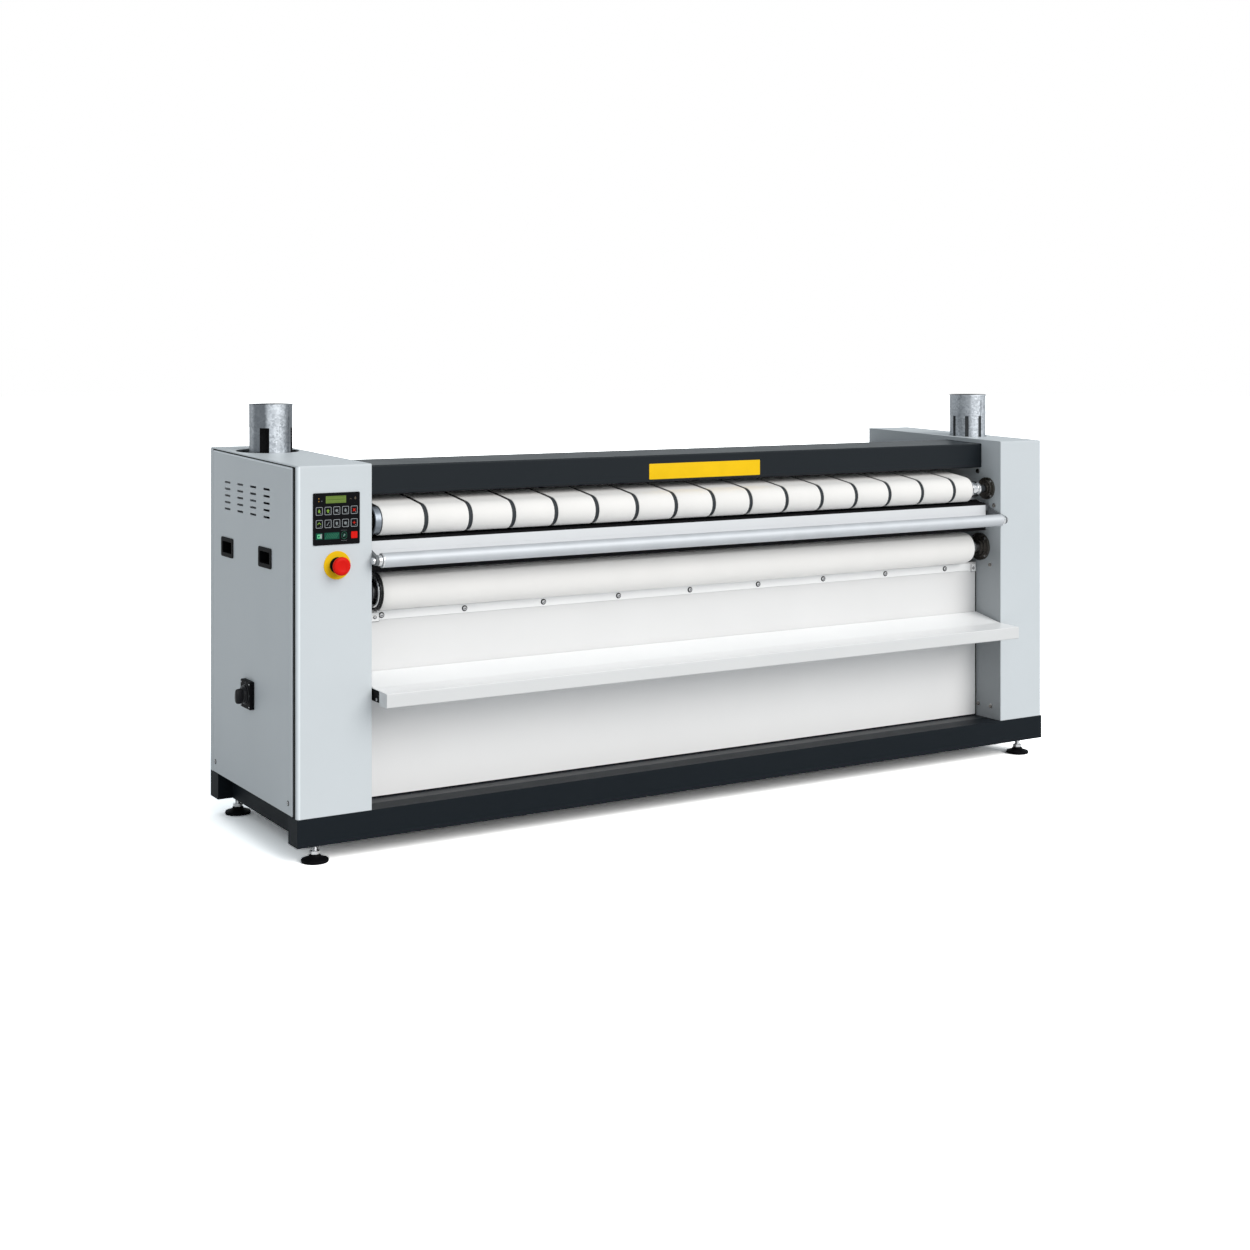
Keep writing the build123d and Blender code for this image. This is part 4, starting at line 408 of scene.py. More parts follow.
def shell(rings, loop):
    """Quads between neighbouring rings, closed by flat ends or into a loop, with faces outwards."""
    m, n, _ = rings.shape
    i = np.arange(m if loop else m - 1)[:, None]
    j = np.arange(n)[None, :]
    a, b = (i % m) * n, ((i + 1) % m) * n
    k = (j + 1) % n
    quads = np.stack([a + j, a + k, b + k, b + j], -1).reshape(-1, 4)
    faces = [quads]
    if not loop:
        faces.append(np.arange(n)[None, ::-1])
        faces.append(((m - 1) * n + np.arange(n))[None, :])
    points = rings.reshape(-1, 3)
    middle = points.mean(0)
    if volume(points - middle, faces) < 0:
        faces = [f[:, ::-1] for f in faces]
    return points, faces


def piece(name, shells, finishes, body, replaces=(), loop=False, uv=None, sharp=30):
    """One object of closed shells. finishes is a finish's name, or a list with one for each shell.
    loop closes a shell's rings into a band: for all shells, or a list with one for each.
    Edges that turn by more than sharp degrees stay sharp."""
    points, corners, sides, slots, start = [], [], [], [], 0
    listed = finishes if isinstance(finishes, list) else [finishes] * len(shells)
    loops = loop if isinstance(loop, list) else [loop] * len(shells)
    used = list(dict.fromkeys(listed))
    for rings, finish, ringed in zip(shells, listed, loops):
        own, faces = shell(np.asarray(rings, float), ringed)
        points.append(own)
        for face in faces:
            corners.append((face + start).ravel())
            sides.append(np.full(len(face), face.shape[1]))
            slots.append(np.full(len(face), used.index(finish)))
        start += len(own)
    points, corners = np.concatenate(points), np.concatenate(corners)
    sides, slots = np.concatenate(sides), np.concatenate(slots)
    starts = np.concatenate([[0], np.cumsum(sides)[:-1]])
    mesh = bpy.data.meshes.new(name)
    mesh.vertices.add(len(points))
    mesh.vertices.foreach_set("co", points.ravel())
    mesh.loops.add(len(corners))
    mesh.loops.foreach_set("vertex_index", corners.astype(np.int32))
    mesh.polygons.add(len(sides))
    mesh.polygons.foreach_set("loop_start", starts.astype(np.int32))
    mesh.polygons.foreach_set("material_index", slots.astype(np.int32))
    if uv is not None:
        layer = mesh.uv_layers.new(name="cloth")
        layer.data.foreach_set("uv", uv[corners].astype(np.float32).ravel())
    mesh.update(calc_edges=True)
    mesh.validate()
    mesh.polygons.foreach_set("use_smooth", np.ones(len(sides), bool))
    mesh.set_sharp_from_angle(angle=np.radians(sharp))
    for finish in used:
        mesh.materials.append(FINISHES[finish])
    made = bpy.data.objects.new(name, mesh)
    bpy.context.scene.collection.objects.link(made)
    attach(made, body)
    if replaces:
        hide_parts(*replaces)
    return made


def dress(finish, nodes):
    """Gives the CAD nodes named in a line of words a finish."""
    for node in nodes.split():
        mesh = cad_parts[node].data
        mesh.materials.clear()
        mesh.materials.append(FINISHES[finish])


# ---------------------------------------------------------------- sizes and colours
LENGTH = {"subtype": "DISTANCE", "unit": "LENGTH"}
COLOUR = {"subtype": "COLOR", "min": 0.0, "max": 1.0}


class IronerSizes(PropertyGroup):
    belt_edge: FloatProperty(
        name="Belt edge", description="Radius of the belts' worn edges",
        default=0.0012, min=0.0002, max=0.0014, **LENGTH,
    )
    yarns: FloatProperty(
        name="Yarns", description="Yarns in a metre of belt cloth", default=900.0, min=200.0, max=2000.0
    )
    sheet_edge: FloatProperty(
        name="Sheet edge", description="Radius that folded sheet edges seem to have",
        default=0.0016, min=0.0, max=0.004, **LENGTH,
    )
    round_steps: IntProperty(
        name="Round steps", description="Faces round a turned piece", default=48, min=16, max=96
    )


class IronerColours(PropertyGroup):
    cabinet: FloatVectorProperty(
        name="Cabinets", description="Paint of the cabinets", default=(0.63, 0.67, 0.70), **COLOUR
    )
    dark: FloatVectorProperty(
        name="Base and hood", description="Paint of the base and the hood",
        default=(0.0105, 0.0142, 0.0182), **COLOUR,
    )
    white: FloatVectorProperty(
        name="White sheet", description="Enamel of the shelf, the front panel and the clamp strip",
        default=(0.955, 0.962, 0.975), **COLOUR,
    )
    cloth: FloatVectorProperty(
        name="Belt cloth", description="Cloth of the belts and the pad", default=(0.90, 0.88, 0.862), **COLOUR
    )
    stop_red: FloatVectorProperty(
        name="Stop red", description="Heads of the emergency stop and stop key",
        default=(0.72, 0.012, 0.008), **COLOUR,
    )
    stop_yellow: FloatVectorProperty(
        name="Stop yellow", description="Emergency stop plate and label plate",
        default=(0.90, 0.56, 0.010), **COLOUR,
    )
    ambient: FloatProperty(
        name="Ambient", description="Light from the room all round",
        default=0.42, min=0.0, max=1.0, subtype="FACTOR",
    )


def sizes():
    return bpy.context.scene.ironer_sizes


def colours():
    return bpy.context.scene.ironer_colours


INKS = {
    "key_outline": (0.36, 0.38, 0.40),
    "mark_grey": (0.22, 0.24, 0.25),
    "mark_green": (0.20, 0.36, 0.05),
    "mark_mint": (0.18, 0.72, 0.36),
    "mark_red": (0.55, 0.02, 0.012),
    "mark_amber": (0.42, 0.21, 0.03),
    "mark_brown": (0.10, 0.08, 0.06),
    "green_field": (0.008, 0.075, 0.048),
    "green_line": (0.03, 0.15, 0.09),
    "dial_grey": (0.09, 0.09, 0.095),
}
# Painted shade by height: height, share below it, share above it and the span of the change.
SIDE_FRAME_PAINTED_SHADE = (0.90, 0.58, 1.0, 0.125)
SHELF_LIP_PAINTED_SHADE = (0.5506, 0.76, 1.0, 0.003)
PANEL_PAINTED_SHADE = (0.52, 1.0, 0.775, 0.125)
# How much of the painted shade and painted reflection the right duct takes.
RIGHT_DUCT_PAINTED_LIGHT = 0.5


def tinted(colour, *shares):
    """A colour with each channel times its share, at most 1."""
    return [min(1.0, channel * share) for channel, share in zip(colour, shares)]


def enamel(name, colour, roughness=0.3, **dulled):
    """Smooth bright enamel of the sheets at the front."""
    return painted(name, colour, roughness, 0.00004, sizes().sheet_edge, 260, **dulled)


def mix_finishes():
    """Every finish of the machine, by a short name."""
    tone, edge, yarns = colours(), sizes().sheet_edge, sizes().yarns
    left, right = inner_walls()
    shown = (left - 0.001, right + 0.001)
    pipes = []
    for side in ("left", "right"):
        low, high = node_box(f"{side}_exhaust_duct")
        pipes.append((*((low + high) / 2)[:2], (high[0] - low[0]) / 2 - 0.0008))
    FINISHES.update(
        cabinet=painted("cabinet_paint", tone.cabinet, 0.42, 0.00008, edge, 700),
        # The side frames are painted black inside the cabinets and darker low down, as painted shade.
        frame=painted(
            "frame_paint", tone.cabinet, 0.42, 0.00008, edge, 700, between=shown, fade=SIDE_FRAME_PAINTED_SHADE
        ),
        cover=painted("cover_paint", tone.cabinet, 0.45, 0.00008, edge, 700),
        dark=painted("base_and_hood_paint", tone.dark, 0.4, 0.00006, edge, 520, 0.14),
        # A lighter cabinet paint used as the painted highlight on rolled edges and casing corners.
        hem=painted("painted_edge_highlight", tinted(tone.cabinet, 1.35, 1.35, 1.35), 0.3, 0.00004, edge, 700),
        beam=painted("base_paint", tone.dark, 0.5, 0.00006, edge, 520, 0.06),
        bracket=painted("bracket_paint", (0.16, 0.17, 0.18), 0.45, 0.00006, edge),
        motor=painted("motor_paint", (0.1, 0.16, 0.22), 0.4, 0.0001, edge),
        strip=enamel("clamp_strip_enamel", tinted(tone.white, 1.01571, 1.0104, 1.00513)),
        # The shelf's front lip is painted darker than its top, as painted shade.
        shelf=enamel("shelf_enamel", tone.white, fade=SHELF_LIP_PAINTED_SHADE),
        # The front panel is painted darker above the shelf, as painted shade.
        panel=enamel("front_panel_enamel", tinted(tone.white, 1.0, 0.98753, 0.97641), 0.34, fade=PANEL_PAINTED_SHADE),
        plate=enamel("feed_plate_enamel", (0.77, 0.785, 0.81), 0.34),
        zinc=galvanised("galvanised_sheet"),
        # Both ducts are painted black inside, and light and dark across their outside as painted shade and
        # painted reflection.
        left_zinc=galvanised("left_duct_zinc", pipes[0]),
        right_zinc=galvanised("right_duct_zinc", pipes[1], RIGHT_DUCT_PAINTED_LIGHT),
        ring_steel=turned("ring_steel", (0.24, 0.265, 0.30), 0.36, 0.8, 1200),
        steel=turned("turned_steel", (0.62, 0.63, 0.64)),
        dark_steel=turned("dark_turned_steel", (0.2, 0.2, 0.21), 0.32),
        drum=turned("polished_cylinder", (0.66, 0.66, 0.67), 0.14, 1.0, 1800),
        aluminium=turned("anodised_aluminium", (0.56, 0.58, 0.61), 0.54, 0.45, 900),
        chain=turned("oiled_chain_steel", (0.24, 0.23, 0.22), 0.36),
        bearing=cast("ground_bearing", (0.12, 0.110, 0.098), 0.2),
        iron=cast("cast_bearing", (0.085, 0.083, 0.08)),
        plated=plated("zinc_plate"),
        chrome=plated("bright_nickel", (0.75, 0.75, 0.76), 0.12),
        dark_chrome=plated("dark_chrome", (0.2, 0.19, 0.175), 0.2),
        screw=plated("screw_zinc", (0.5, 0.5, 0.51), 0.28),
        washer=plated("black_washer", (0.03, 0.03, 0.032), 0.45),
        gloss_black=moulded("gloss_black_flange", (0.012, 0.012, 0.013), 0.2, 300.0, 0.00002),
        rubber=moulded("roller_covering", (0.045, 0.05, 0.056), 0.5, 500.0, 0.00012),
        black=moulded("black_plastic", (0.006, 0.006, 0.007), 0.5, shine=0.03),
        knob=moulded("knob_plastic", (0.010, 0.010, 0.012), 0.36, 900.0, 0.00003, shine=0.2),
        # A black sheet of painted shade behind the right duct's slots.
        screen=moulded("painted_slot_shade", (0.060, 0.064, 0.068), 0.7),
        # Black paint that stands for shade in gaps, in recesses and under parts.
        recess=moulded("black_paint_for_shade", (0.006, 0.006, 0.007), 0.75),
        red=moulded("stop_red", tone.stop_red, 0.3, 300.0, 0.00002, 0.001),
        yellow=moulded("stop_yellow", tone.stop_yellow, 0.34, 300.0, 0.00002),
        display=moulded("display_glass", (0.155, 0.235, 0.05), 0.12, 200.0, 0.000005, 0.0003),
        display_line=moulded("display_line", (0.09, 0.15, 0.03), 0.3, 400.0, 0.00001),
        board=moulded("board_plastic", (0.42, 0.43, 0.44)),
        belt=woven("belt_cloth", tone.cloth, yarns, 0.25),
        pad=woven("pad_cloth", tone.cloth, yarns * 0.8, 0.6),
        **{name: moulded(name, colour, 0.5, 400.0, 0.00001) for name, colour in INKS.items()},
    )


DRESSED = {
    "cabinet": "left_casing right_casing left_service_panel right_service_panel cabinet_rear_covers",
    "frame": "left_side_frame right_side_frame",
    "cover": "rear_cover",
    "dark": "hood top_cover base_pan",
    "beam": "base_front_beam base_rear_beam base_side_rails",
    "bracket": "wall_brackets",
    "strip": "panel_clamp_strip",
    "shelf": "linen_shelf",
    "panel": "front_panel",
    "motor": "drive_motor gearbox",
    "zinc": "left_fan_housing right_fan_housing",
    "left_zinc": "left_exhaust_duct",
    "right_zinc": "right_exhaust_duct",
    "aluminium": "left_fan_wheel right_fan_wheel feed_tube",
    "plate": "feed_plate",
    "drum": "ironing_cylinder",
    "steel": "rear_top_roller rear_bottom_roller lower_belt_roller burner_tube",
    "rubber": "upper_roller",
    "dark_steel": "lower_roller",
    "chain": "drive_sprocket cylinder_sprocket drive_chain",
    "bearing": "roller_bearings",
    "iron": "cylinder_bearings",
    "board": "control_board",
    "black": "foot_front_left foot_front_right foot_rear_left foot_rear_right control_panel estop_body "
    "main_switch_plate main_switch_knob cup_handles",
    "plated": "strip_screws casing_screws tube_axles estop_plunger",
    "red": "stop_key estop_head",
    "yellow": "estop_plate",
    "display": "display_window",
    "pad": "lower_roller_pad ironing_belts",
}


class IRONER_OT_paint(Operator):
    """Mix the finishes and give every CAD node its own"""

    bl_idname = "ironer.paint"
    bl_label = "Paint the machine"

    def execute(self, context):
        mix_finishes()
        for finish, nodes in DRESSED.items():
            dress(finish, nodes)
        return {"FINISHED"}


# ---------------------------------------------------------------- belts and pad
BELT_COUNT = 16
LAST_BELT = 0.09
BELT_GAP = 0.0155
BELT_THICKNESS = 0.003
BELT_CLEARANCE = 0.0003
CYLINDER_RADIUS = 0.25


def roller_circle(node):
    """Axis (y, z) and radius of a roller, from the box of its CAD node."""
    low, high = node_box(node)
    middle = (low + high) / 2
    return middle[1], middle[2], (high[1] - low[1]) / 2


def belt_circles():
    """The five circles that a belt's middle line goes round.
    The cylinder is passed on its far side, so its radius is negative."""
    half = BELT_THICKNESS / 2 + BELT_CLEARANCE
    rollers = ("upper_roller", "lower_belt_roller", "rear_bottom_roller", "rear_top_roller")
    loop = [(y, z, radius + half) for y, z, radius in map(roller_circle, rollers)]
    y, z, _ = roller_circle("ironing_cylinder")
    loop.insert(1, (y, z, -(CYLINDER_RADIUS + half)))
    return loop


def belt_line(circles, step=0.011):
    """Arcs about each circle joined by their common tangents, as points and the outward normals there.
    For centres a, b and signed radii r, s the tangent's normal n has n . (b - a) = s - r."""
    middle = np.array([(y, z) for y, z, _ in circles])
    radius = np.array([r for _, _, r in circles])
    count = len(circles)
    leave = np.empty((count, 2))
    for i in range(count):
        j = (i + 1) % count
        along = middle[j] - middle[i]
        length = np.hypot(*along)
        along = along / length
        side = np.array([along[1], -along[0]])
        sine = (radius[i] - radius[j]) / length
        leave[i] = side * np.sqrt(1 - sine * sine) + along * sine
    points, normals = [], []
    for i in range(count):
        first, last = leave[i - 1], leave[i]
        turn = np.arctan2(first[0] * last[1] - first[1] * last[0], first @ last)
        steps = max(3, int(abs(turn * radius[i]) / step) + 1)
        if radius[i] > 0 and turn < -0.3:
            turn += TAU
        normal = circle(np.arctan2(first[1], first[0]) + turn * np.linspace(0, 1, steps))
        arc = middle[i] + radius[i] * normal
        points.append(arc)
        normals.append(normal)
        j = (i + 1) % count
        start, end = arc[-1], middle[j] + radius[j] * leave[i]
        inner = np.linspace(0, 1, 5)[1:-1, None]
        points.append(start + (end - start) * inner)
        normals.append(np.repeat(last[None], len(inner), 0))
    return np.concatenate(points), np.concatenate(normals)


def belt_rings(x0, x1, edge):
    """A flat section w wide and t thick with round edges, carried along the belt line: p + b n + a X."""
    line, normal = belt_line(belt_circles())
    width = x1 - x0
    flat = outline(width / 2, BELT_THICKNESS / 2, edge, 3)
    across = flat[:, 0] + (x0 + x1) / 2
    x = np.broadcast_to(across, (len(line), len(flat)))
    out = line[:, None, :] + flat[None, :, 1:] * normal[:, None, :]
    length = np.concatenate([[0], np.cumsum(np.hypot(*np.diff(line, axis=0).T))])
    uv = np.stack([x - x0, np.broadcast_to(length[:, None], x.shape)], -1)
    around = length[-1] + np.hypot(*(line[0] - line[-1]))
    return np.concatenate([x[..., None], out], -1), uv.reshape(-1, 2), around


class IRONER_OT_belts(Operator):
    """Weave the sixteen ironing belts round their five rollers"""

    bl_idname = "ironer.belts"
    bl_label = "Ironing belts"

    def execute(self, context):
        low, high = node_box("ironing_belts")
        pitch = (high[0] - low[0] - LAST_BELT) / (BELT_COUNT - 1)
        for i in range(BELT_COUNT):
            x0 = low[0] + i * pitch
            x1 = min(x0 + pitch - BELT_GAP, high[0])
            rings, uv, length = belt_rings(x0, x1, sizes().belt_edge)
            name = f"ironing_belt_{i + 1:02d}"
            belt = piece(name, [rings], "belt", "frame", ("ironing_belts",), True, uv, 60)
            x1 - x0
        return {"FINISHED"}


PAD_DEPTH = 0.007
# How far the pad's ends are rounded, along and inwards.
PAD_ROUNDING = (0.011, 0.006)


class IRONER_OT_roller_pad(Operator):
    """Wind the padding on the delivery roller"""

    bl_idname = "ironer.roller_pad"
    bl_label = "Roller pad"

    def execute(self, context):
        low, high = node_box("lower_roller_pad")
        middle, radius = (low + high) / 2, (high[1] - low[1]) / 2
        core, length, steps = radius - PAD_DEPTH, high[0] - low[0], 96
        along = np.linspace(0, 1, 181)
        crown = 0.0012 * (np.sin(along * np.pi) - 1) + 0.00035 * np.sin(along * TAU * 9 + 1.0)
        fall = np.clip(np.minimum(along, 1 - along) * length / PAD_ROUNDING[0], 0, 1)
        outer = radius - PAD_ROUNDING[1] * (1 - np.sqrt(1 - (1 - fall) ** 2)) + crown * fall
        a = np.concatenate([along * length, [length, 0.0]]) - length / 2
        r = np.concatenate([outer, [core, core]])
        rings = turned_piece(np.stack([a, r], -1), middle, X, steps)
        angle = np.minimum(np.arange(steps), steps - np.arange(steps)) * TAU / steps * radius
        uv = np.stack(np.broadcast_arrays(a[:, None], angle), -1).reshape(-1, 2)
        replaced = ("lower_roller_pad",)
        pad = piece(
            "delivery_roller_pad", [rings], "pad", "delivery_roller", replaced, True, uv, 50
        )
        return {"FINISHED"}


# ---------------------------------------------------------------- controls
def regular(sides, radius, start=0.0):
    """Corners of a regular polygon: r (cos t, sin t)."""
    return radius * circle(start + np.arange(sides) * TAU / sides)


def star(arms, outer, inner, start=0.0):
    """A cross or star: outer and inner radius in turn."""
    radius = np.tile([outer, inner], arms)[:, None]
    return radius * circle(start + np.arange(arms * 2) * TAU / (arms * 2))


ARROW = 6.2 * mm([(-1, -0.1), (0, 1), (1, -0.1), (0.4, -0.1), (0.4, -1), (-0.4, -1), (-0.4, -0.1)])
CHEVRON = 6.0 * mm([(-1, -0.5), (0, 0.5), (1, -0.5), (1, 0.1), (0, 1.1), (-1, 0.1)])
DROP = 6.8 * mm([(0, 1.1), (0.55, 0.2), (0.6, -0.35), (0.3, -0.8), (-0.3, -0.8), (-0.6, -0.35), (-0.55, 0.2)])
SLASH = 6.2 * mm([(-0.9, -1), (-0.45, -1), (0.9, 1), (0.45, 1)])
DASH = outline(0.0011, 0.0006, 0.0003)
INK = 0.00012
KEY_PITCH = (0.0302, 0.0415)
KEY_TOP_ROW = 0.110
KEY_LIFT = 0.0008
KEY_RING = hoop((0.0116, 0.0131), 0.0032, 0.0016, (0, 0, 0), X, Z, INK)
KEY_LAMP = (0.0052, -0.0072)
KEY_SIGNS = (
    (
        (DROP, "mark_green"),
        (ARROW, "mark_green"),
        (regular(16, 0.005), "mark_grey"),
        (DROP, "mark_grey"),
        (star(4, 0.0078, 0.003, 0.78), "mark_red"),
    ),
    (
        (CHEVRON, "mark_green"),
        (SLASH, "mark_grey"),
        (-DROP, "mark_grey"),
        (regular(6, 0.0055), "mark_grey"),
        (star(4, 0.0068, 0.0022), "mark_red"),
    ),
)
# A shape, its middle in millimetres from the unit's lower left corner, its ink and the layers under it.
PRINT = (
    (outline(0.0115, 0.0105, 0.0015), (20, 29), "green_field", 0),
    (outline(0.0050, 0.0062, 0.0012), (19, 29), "mark_mint", 1),
    (outline(0.0026, 0.0032, 0.0008), (19, 29), "green_field", 2),
    (outline(0.0027, 0.0072, 0.0012), (26.8, 29), "key_outline", 1),
    (outline(0.0260, 0.0110, 0.0015), (64, 29), "green_field", 0),
    *((SLASH * 1.25, (45.8 + 6.1 * i, 29), "green_line", 1) for i in range(7)),
    (hoop((0.0098, 0.0118), 0.0090, 0.0012, (0, 0, 0), X, Z, INK), (106.5, 29), "green_line", 0),
    (regular(24, 0.0058), (106.5, 29), "green_field", 1),
    (SLASH * 0.7, (106.5, 29), "key_outline", 2),
    *(
        (DASH, (98.5 + 4 * i, z), ink, 0)
        for i in range(5)
        for z, ink in ((12.5, "key_outline"), (45, "mark_grey"))
    ),
    (regular(12, 0.0019), (19, 150.5), "mark_amber", 0),
    (regular(12, 0.0019), (19, 141.5), "mark_amber", 0),
    (regular(12, 0.0015), (29, 142), "mark_grey", 0),
    (CHEVRON * 0.6, (129, 145), "mark_brown", 0),
    (DROP * 0.8, (145, 148), "mark_brown", 0),
)
DISPLAY_LINES = mm([-8.5, -0.5, 0.5, 8.5])


class IRONER_OT_control_unit(Operator):
    """Print the key outlines, signs, lamps and display of the control unit"""

    bl_idname = "ironer.control_unit"
    bl_label = "Control unit"

    def execute(self, context):
        low, high = node_box("control_panel")
        face = low[1] + KEY_LIFT
        shells, finishes, loops = [], [], []

        def mark(shape, x, z, ink, lift):
            """A flat shape, or a hoop made at the origin, with its middle at (x, z)."""
            at, ringed = np.array([x, face, z]), shape.ndim == 3
            shells.append(shape + at - lift * Y if ringed else prism(shape, at, X, Z, INK, lift))
            finishes.append(ink)
            loops.append(ringed)

        for row, signs in enumerate(KEY_SIGNS):
            z = low[2] + KEY_TOP_ROW - row * KEY_PITCH[1]
            for column, (sign, ink) in enumerate(signs):
                x = (low[0] + high[0]) / 2 + (column - 2) * KEY_PITCH[0]
                mark(KEY_RING, x, z, "key_outline", KEY_LIFT)
                mark(sign, x, z, ink, KEY_LIFT)
                mark(regular(10, 0.0016), x + KEY_LAMP[0], z + KEY_LAMP[1], "mark_grey", KEY_LIFT)
        for shape, place, ink, layers in PRINT:
            x, z = mm(place) + (low[0], low[2])
            mark(shape, x, z, ink, layers * INK)
        piece("control_unit_print", shells, finishes, "frame", loop=loops)

        low, high = node_box("display_window")
        window, half = (low + high) / 2, (high - low)[::2] / 2
        window[1] = low[1]
        shells = [hoop(half + 0.0012, 0.0016, 0.0020, window, X, Z, 0.0004)]
        line = outline(half[0] - 0.006, 0.0004, 0.0002)
        shells += [prism(line, window + Z * lift, X, Z, INK) for lift in DISPLAY_LINES]
        finishes, loops = ["black"] + ["display_line"] * 4, [True] + [False] * 4
        piece("display_bezel", shells, finishes, "frame", loop=loops, sharp=40)
        return {"FINISHED"}


class IRONER_OT_emergency_stop(Operator):
    """Turn the red head, its sleeve and the yellow plate of the emergency stop"""

    bl_idname = "ironer.emergency_stop"
    bl_label = "Emergency stop"

    def execute(self, context):
        low, high = node_box("estop_head")
        radius, height = (high[0] - low[0]) / 2, high[1] - low[1]
        skirt = mm([(0, 16.5), (0, 18.2), (0.4, 18.6), (5, 20)])
        rim = mm([(7.8, -0.8), (8.4, 0), (14, 0), (14.6, -0.7)]) + (0, radius)
        bend = np.linspace(0, np.pi / 2, 9)
        dome = mm(np.stack([5 * np.sin(bend) - 5, 11 * np.cos(bend) - 12], -1)) + (height, radius)
        dish = np.array([(-0.0001, 0.58), (-0.0007, 0.52), (-0.0009, 0.1)]) * (1, radius) + (height, 0)
        centre = ((low[0] + high[0]) / 2, high[1], (low[2] + high[2]) / 2)
        head = turned_piece(np.concatenate([skirt, rim, dome, dish]), centre, -Y, 72)
        piece("stop_head", [head], "red", "estop_head", ("estop_head",), sharp=28)

        low, high = node_box("estop_plate")
        radius, thick = (high[0] - low[0]) / 2, high[1] - low[1]
        centre = ((low[0] + high[0]) / 2, high[1], (low[2] + high[2]) / 2)
        disc = [
            (0, 0.0145), (0, radius), (thick - 0.0006, radius), (thick, radius - 0.0006), (thick, 0.0145)
        ]
        disc = turned_piece(disc, centre, -Y, 96)
        piece("stop_plate", [disc], "yellow", "frame", ("estop_plate",), True, sharp=28)
        sleeve = mm([(0, 25), (1, 26.4), (7.8, 26.4), (9, 25.2), (9, 20.2), (0, 20.2)])
        nut = mm([(9, 20.2), (9, 23.2), (18, 23.2), (18.8, 22.2), (18.8, 20.2)])
        shells = [turned_piece(p + (thick, 0), centre, -Y, steps) for p, steps in ((sleeve, 72), (nut, 24))]
        piece("stop_sleeve", shells, "black", "frame", loop=True, sharp=25)
        return {"FINISHED"}


SWITCH_DIAL = mm([(0, 30), (0, 34.5), (0.6, 34), (0.6, 30.5)])
SWITCH_TICK = outline(0.0008, 0.0028, 0.0004)
SWITCH_SCREW = mm([(0, 2.6), (0.6, 2.6), (1, 2)])
SWITCH_SCREW_PLACE = 0.0385
SWITCH_BOSS = mm([(0.4, 31.8), (5, 32.2), (6.4, 31), (7.2, 27.6), (12.2, 26.8), (13.4, 25.2)])


class IRONER_OT_main_switch(Operator):
    """Add the dial ring, ticks and screws of the main switch, and its knob with the pointer"""

    bl_idname = "ironer.main_switch"
    bl_label = "Main switch"

    def execute(self, context):
        low, high = node_box("main_switch_plate")
        face = (low + high) / 2
        face[0] = low[0]
        shells = [turned_piece(SWITCH_DIAL, face, -X, 72)]
        shells += [prism(SWITCH_TICK + at, face, -Y, Z, 0.0002) for at in ((0, 0.0395), (0.0395, 0))]
        for y in (-1, 1):
            for z in (-1, 1):
                place = face + SWITCH_SCREW_PLACE * (y * Y + z * Z)
                shells.append(turned_piece(SWITCH_SCREW, place, -X, 16))
        finishes = ["dial_grey"] + ["key_outline"] * 2 + ["plated"] * 4
        loops = [True] + [False] * 6
        piece("switch_dial", shells, finishes, "frame", loop=loops, sharp=40)

        low, high = node_box("main_switch_knob")
        hub, reach = np.array([face[0], (low[1] + high[1]) / 2, face[2]]), face[0] - low[0]
        turn = np.arange(40) * TAU / 40
        pear = mm(np.stack([(9.8 - 2.6 * np.sin(turn)) * np.cos(turn), 26.2 * np.sin(turn) - 4.6], -1))
        pear = pear[:, 1:] * Z - pear[:, :1] * Y
        levels = [0.0130, reach - 0.0090, reach - 0.0040, reach - 0.0012, reach - 0.0002]
        shares = [1.0, 0.98, 0.92, 0.80, 0.62]
        grip = np.stack([hub - lift * X + share * pear for lift, share in zip(levels, shares)])
        tip = hub - X * (reach - 0.0003) + Z * 0.0040
        pointer = prism(outline(0.0010, 0.0050, 0.0005), tip, -Y, Z, 0.0002)
        shells = [turned_piece(SWITCH_BOSS, hub, -X, 72), grip, pointer]
        finishes, knob = ["knob", "knob", "dial_grey"], "main_switch_knob"
        piece("switch_knob", shells, finishes, knob, (knob,), sharp=35)
        return {"FINISHED"}


# ---------------------------------------------------------------- metal trim
WASHER = 0.0012


def pan_screw(place, normal, radius, height):
    """A washer, a head crowned as h (0.55 + 0.45 (1 - (r / R)^2)), and the cross in it, painted black as the
    shade in its recess.
    """
    hole = 0.2 * radius
    washer = [(0, hole), (0, radius * 1.52), (0.0010, radius * 1.50), (WASHER, radius * 1.4), (WASHER, hole)]
    reach = np.linspace(1, 0.06, 7)
    crown = np.stack([WASHER + height * (0.55 + 0.45 * (1 - reach**2)), radius * reach], -1)
    head = np.concatenate([[(WASHER, radius * 0.96)], crown])
    up = Z if abs(normal[2]) < 0.9 else X
    top = np.asarray(place) + np.asarray(normal) * (WASHER + height * 0.93)
    cross = prism(star(4, radius * 0.62, radius * 0.2, 0.4), top, np.cross(up, normal), up, height * 0.1)
    washer, head = (turned_piece(profile, place, normal, 24) for profile in (washer, head))
    return [(washer, True), (head, False), (cross, False)]


def hex_bolt(place, normal, across, height):
    """A washer and a six-sided head with a turned-down top."""
    washer = [(0.0, 0.3 * across), (0.0, 0.78 * across), (0.0013, 0.76 * across), (0.0013, 0.3 * across)]
    corner = across / np.sqrt(3)
    head = [(0.0013, corner * 0.98), (0.0016, corner), (height - 0.0012, corner), (height, corner * 0.86)]
    return [(turned_piece(washer, place, normal, 24), True), (turned_piece(head, place, normal, 6), False)]


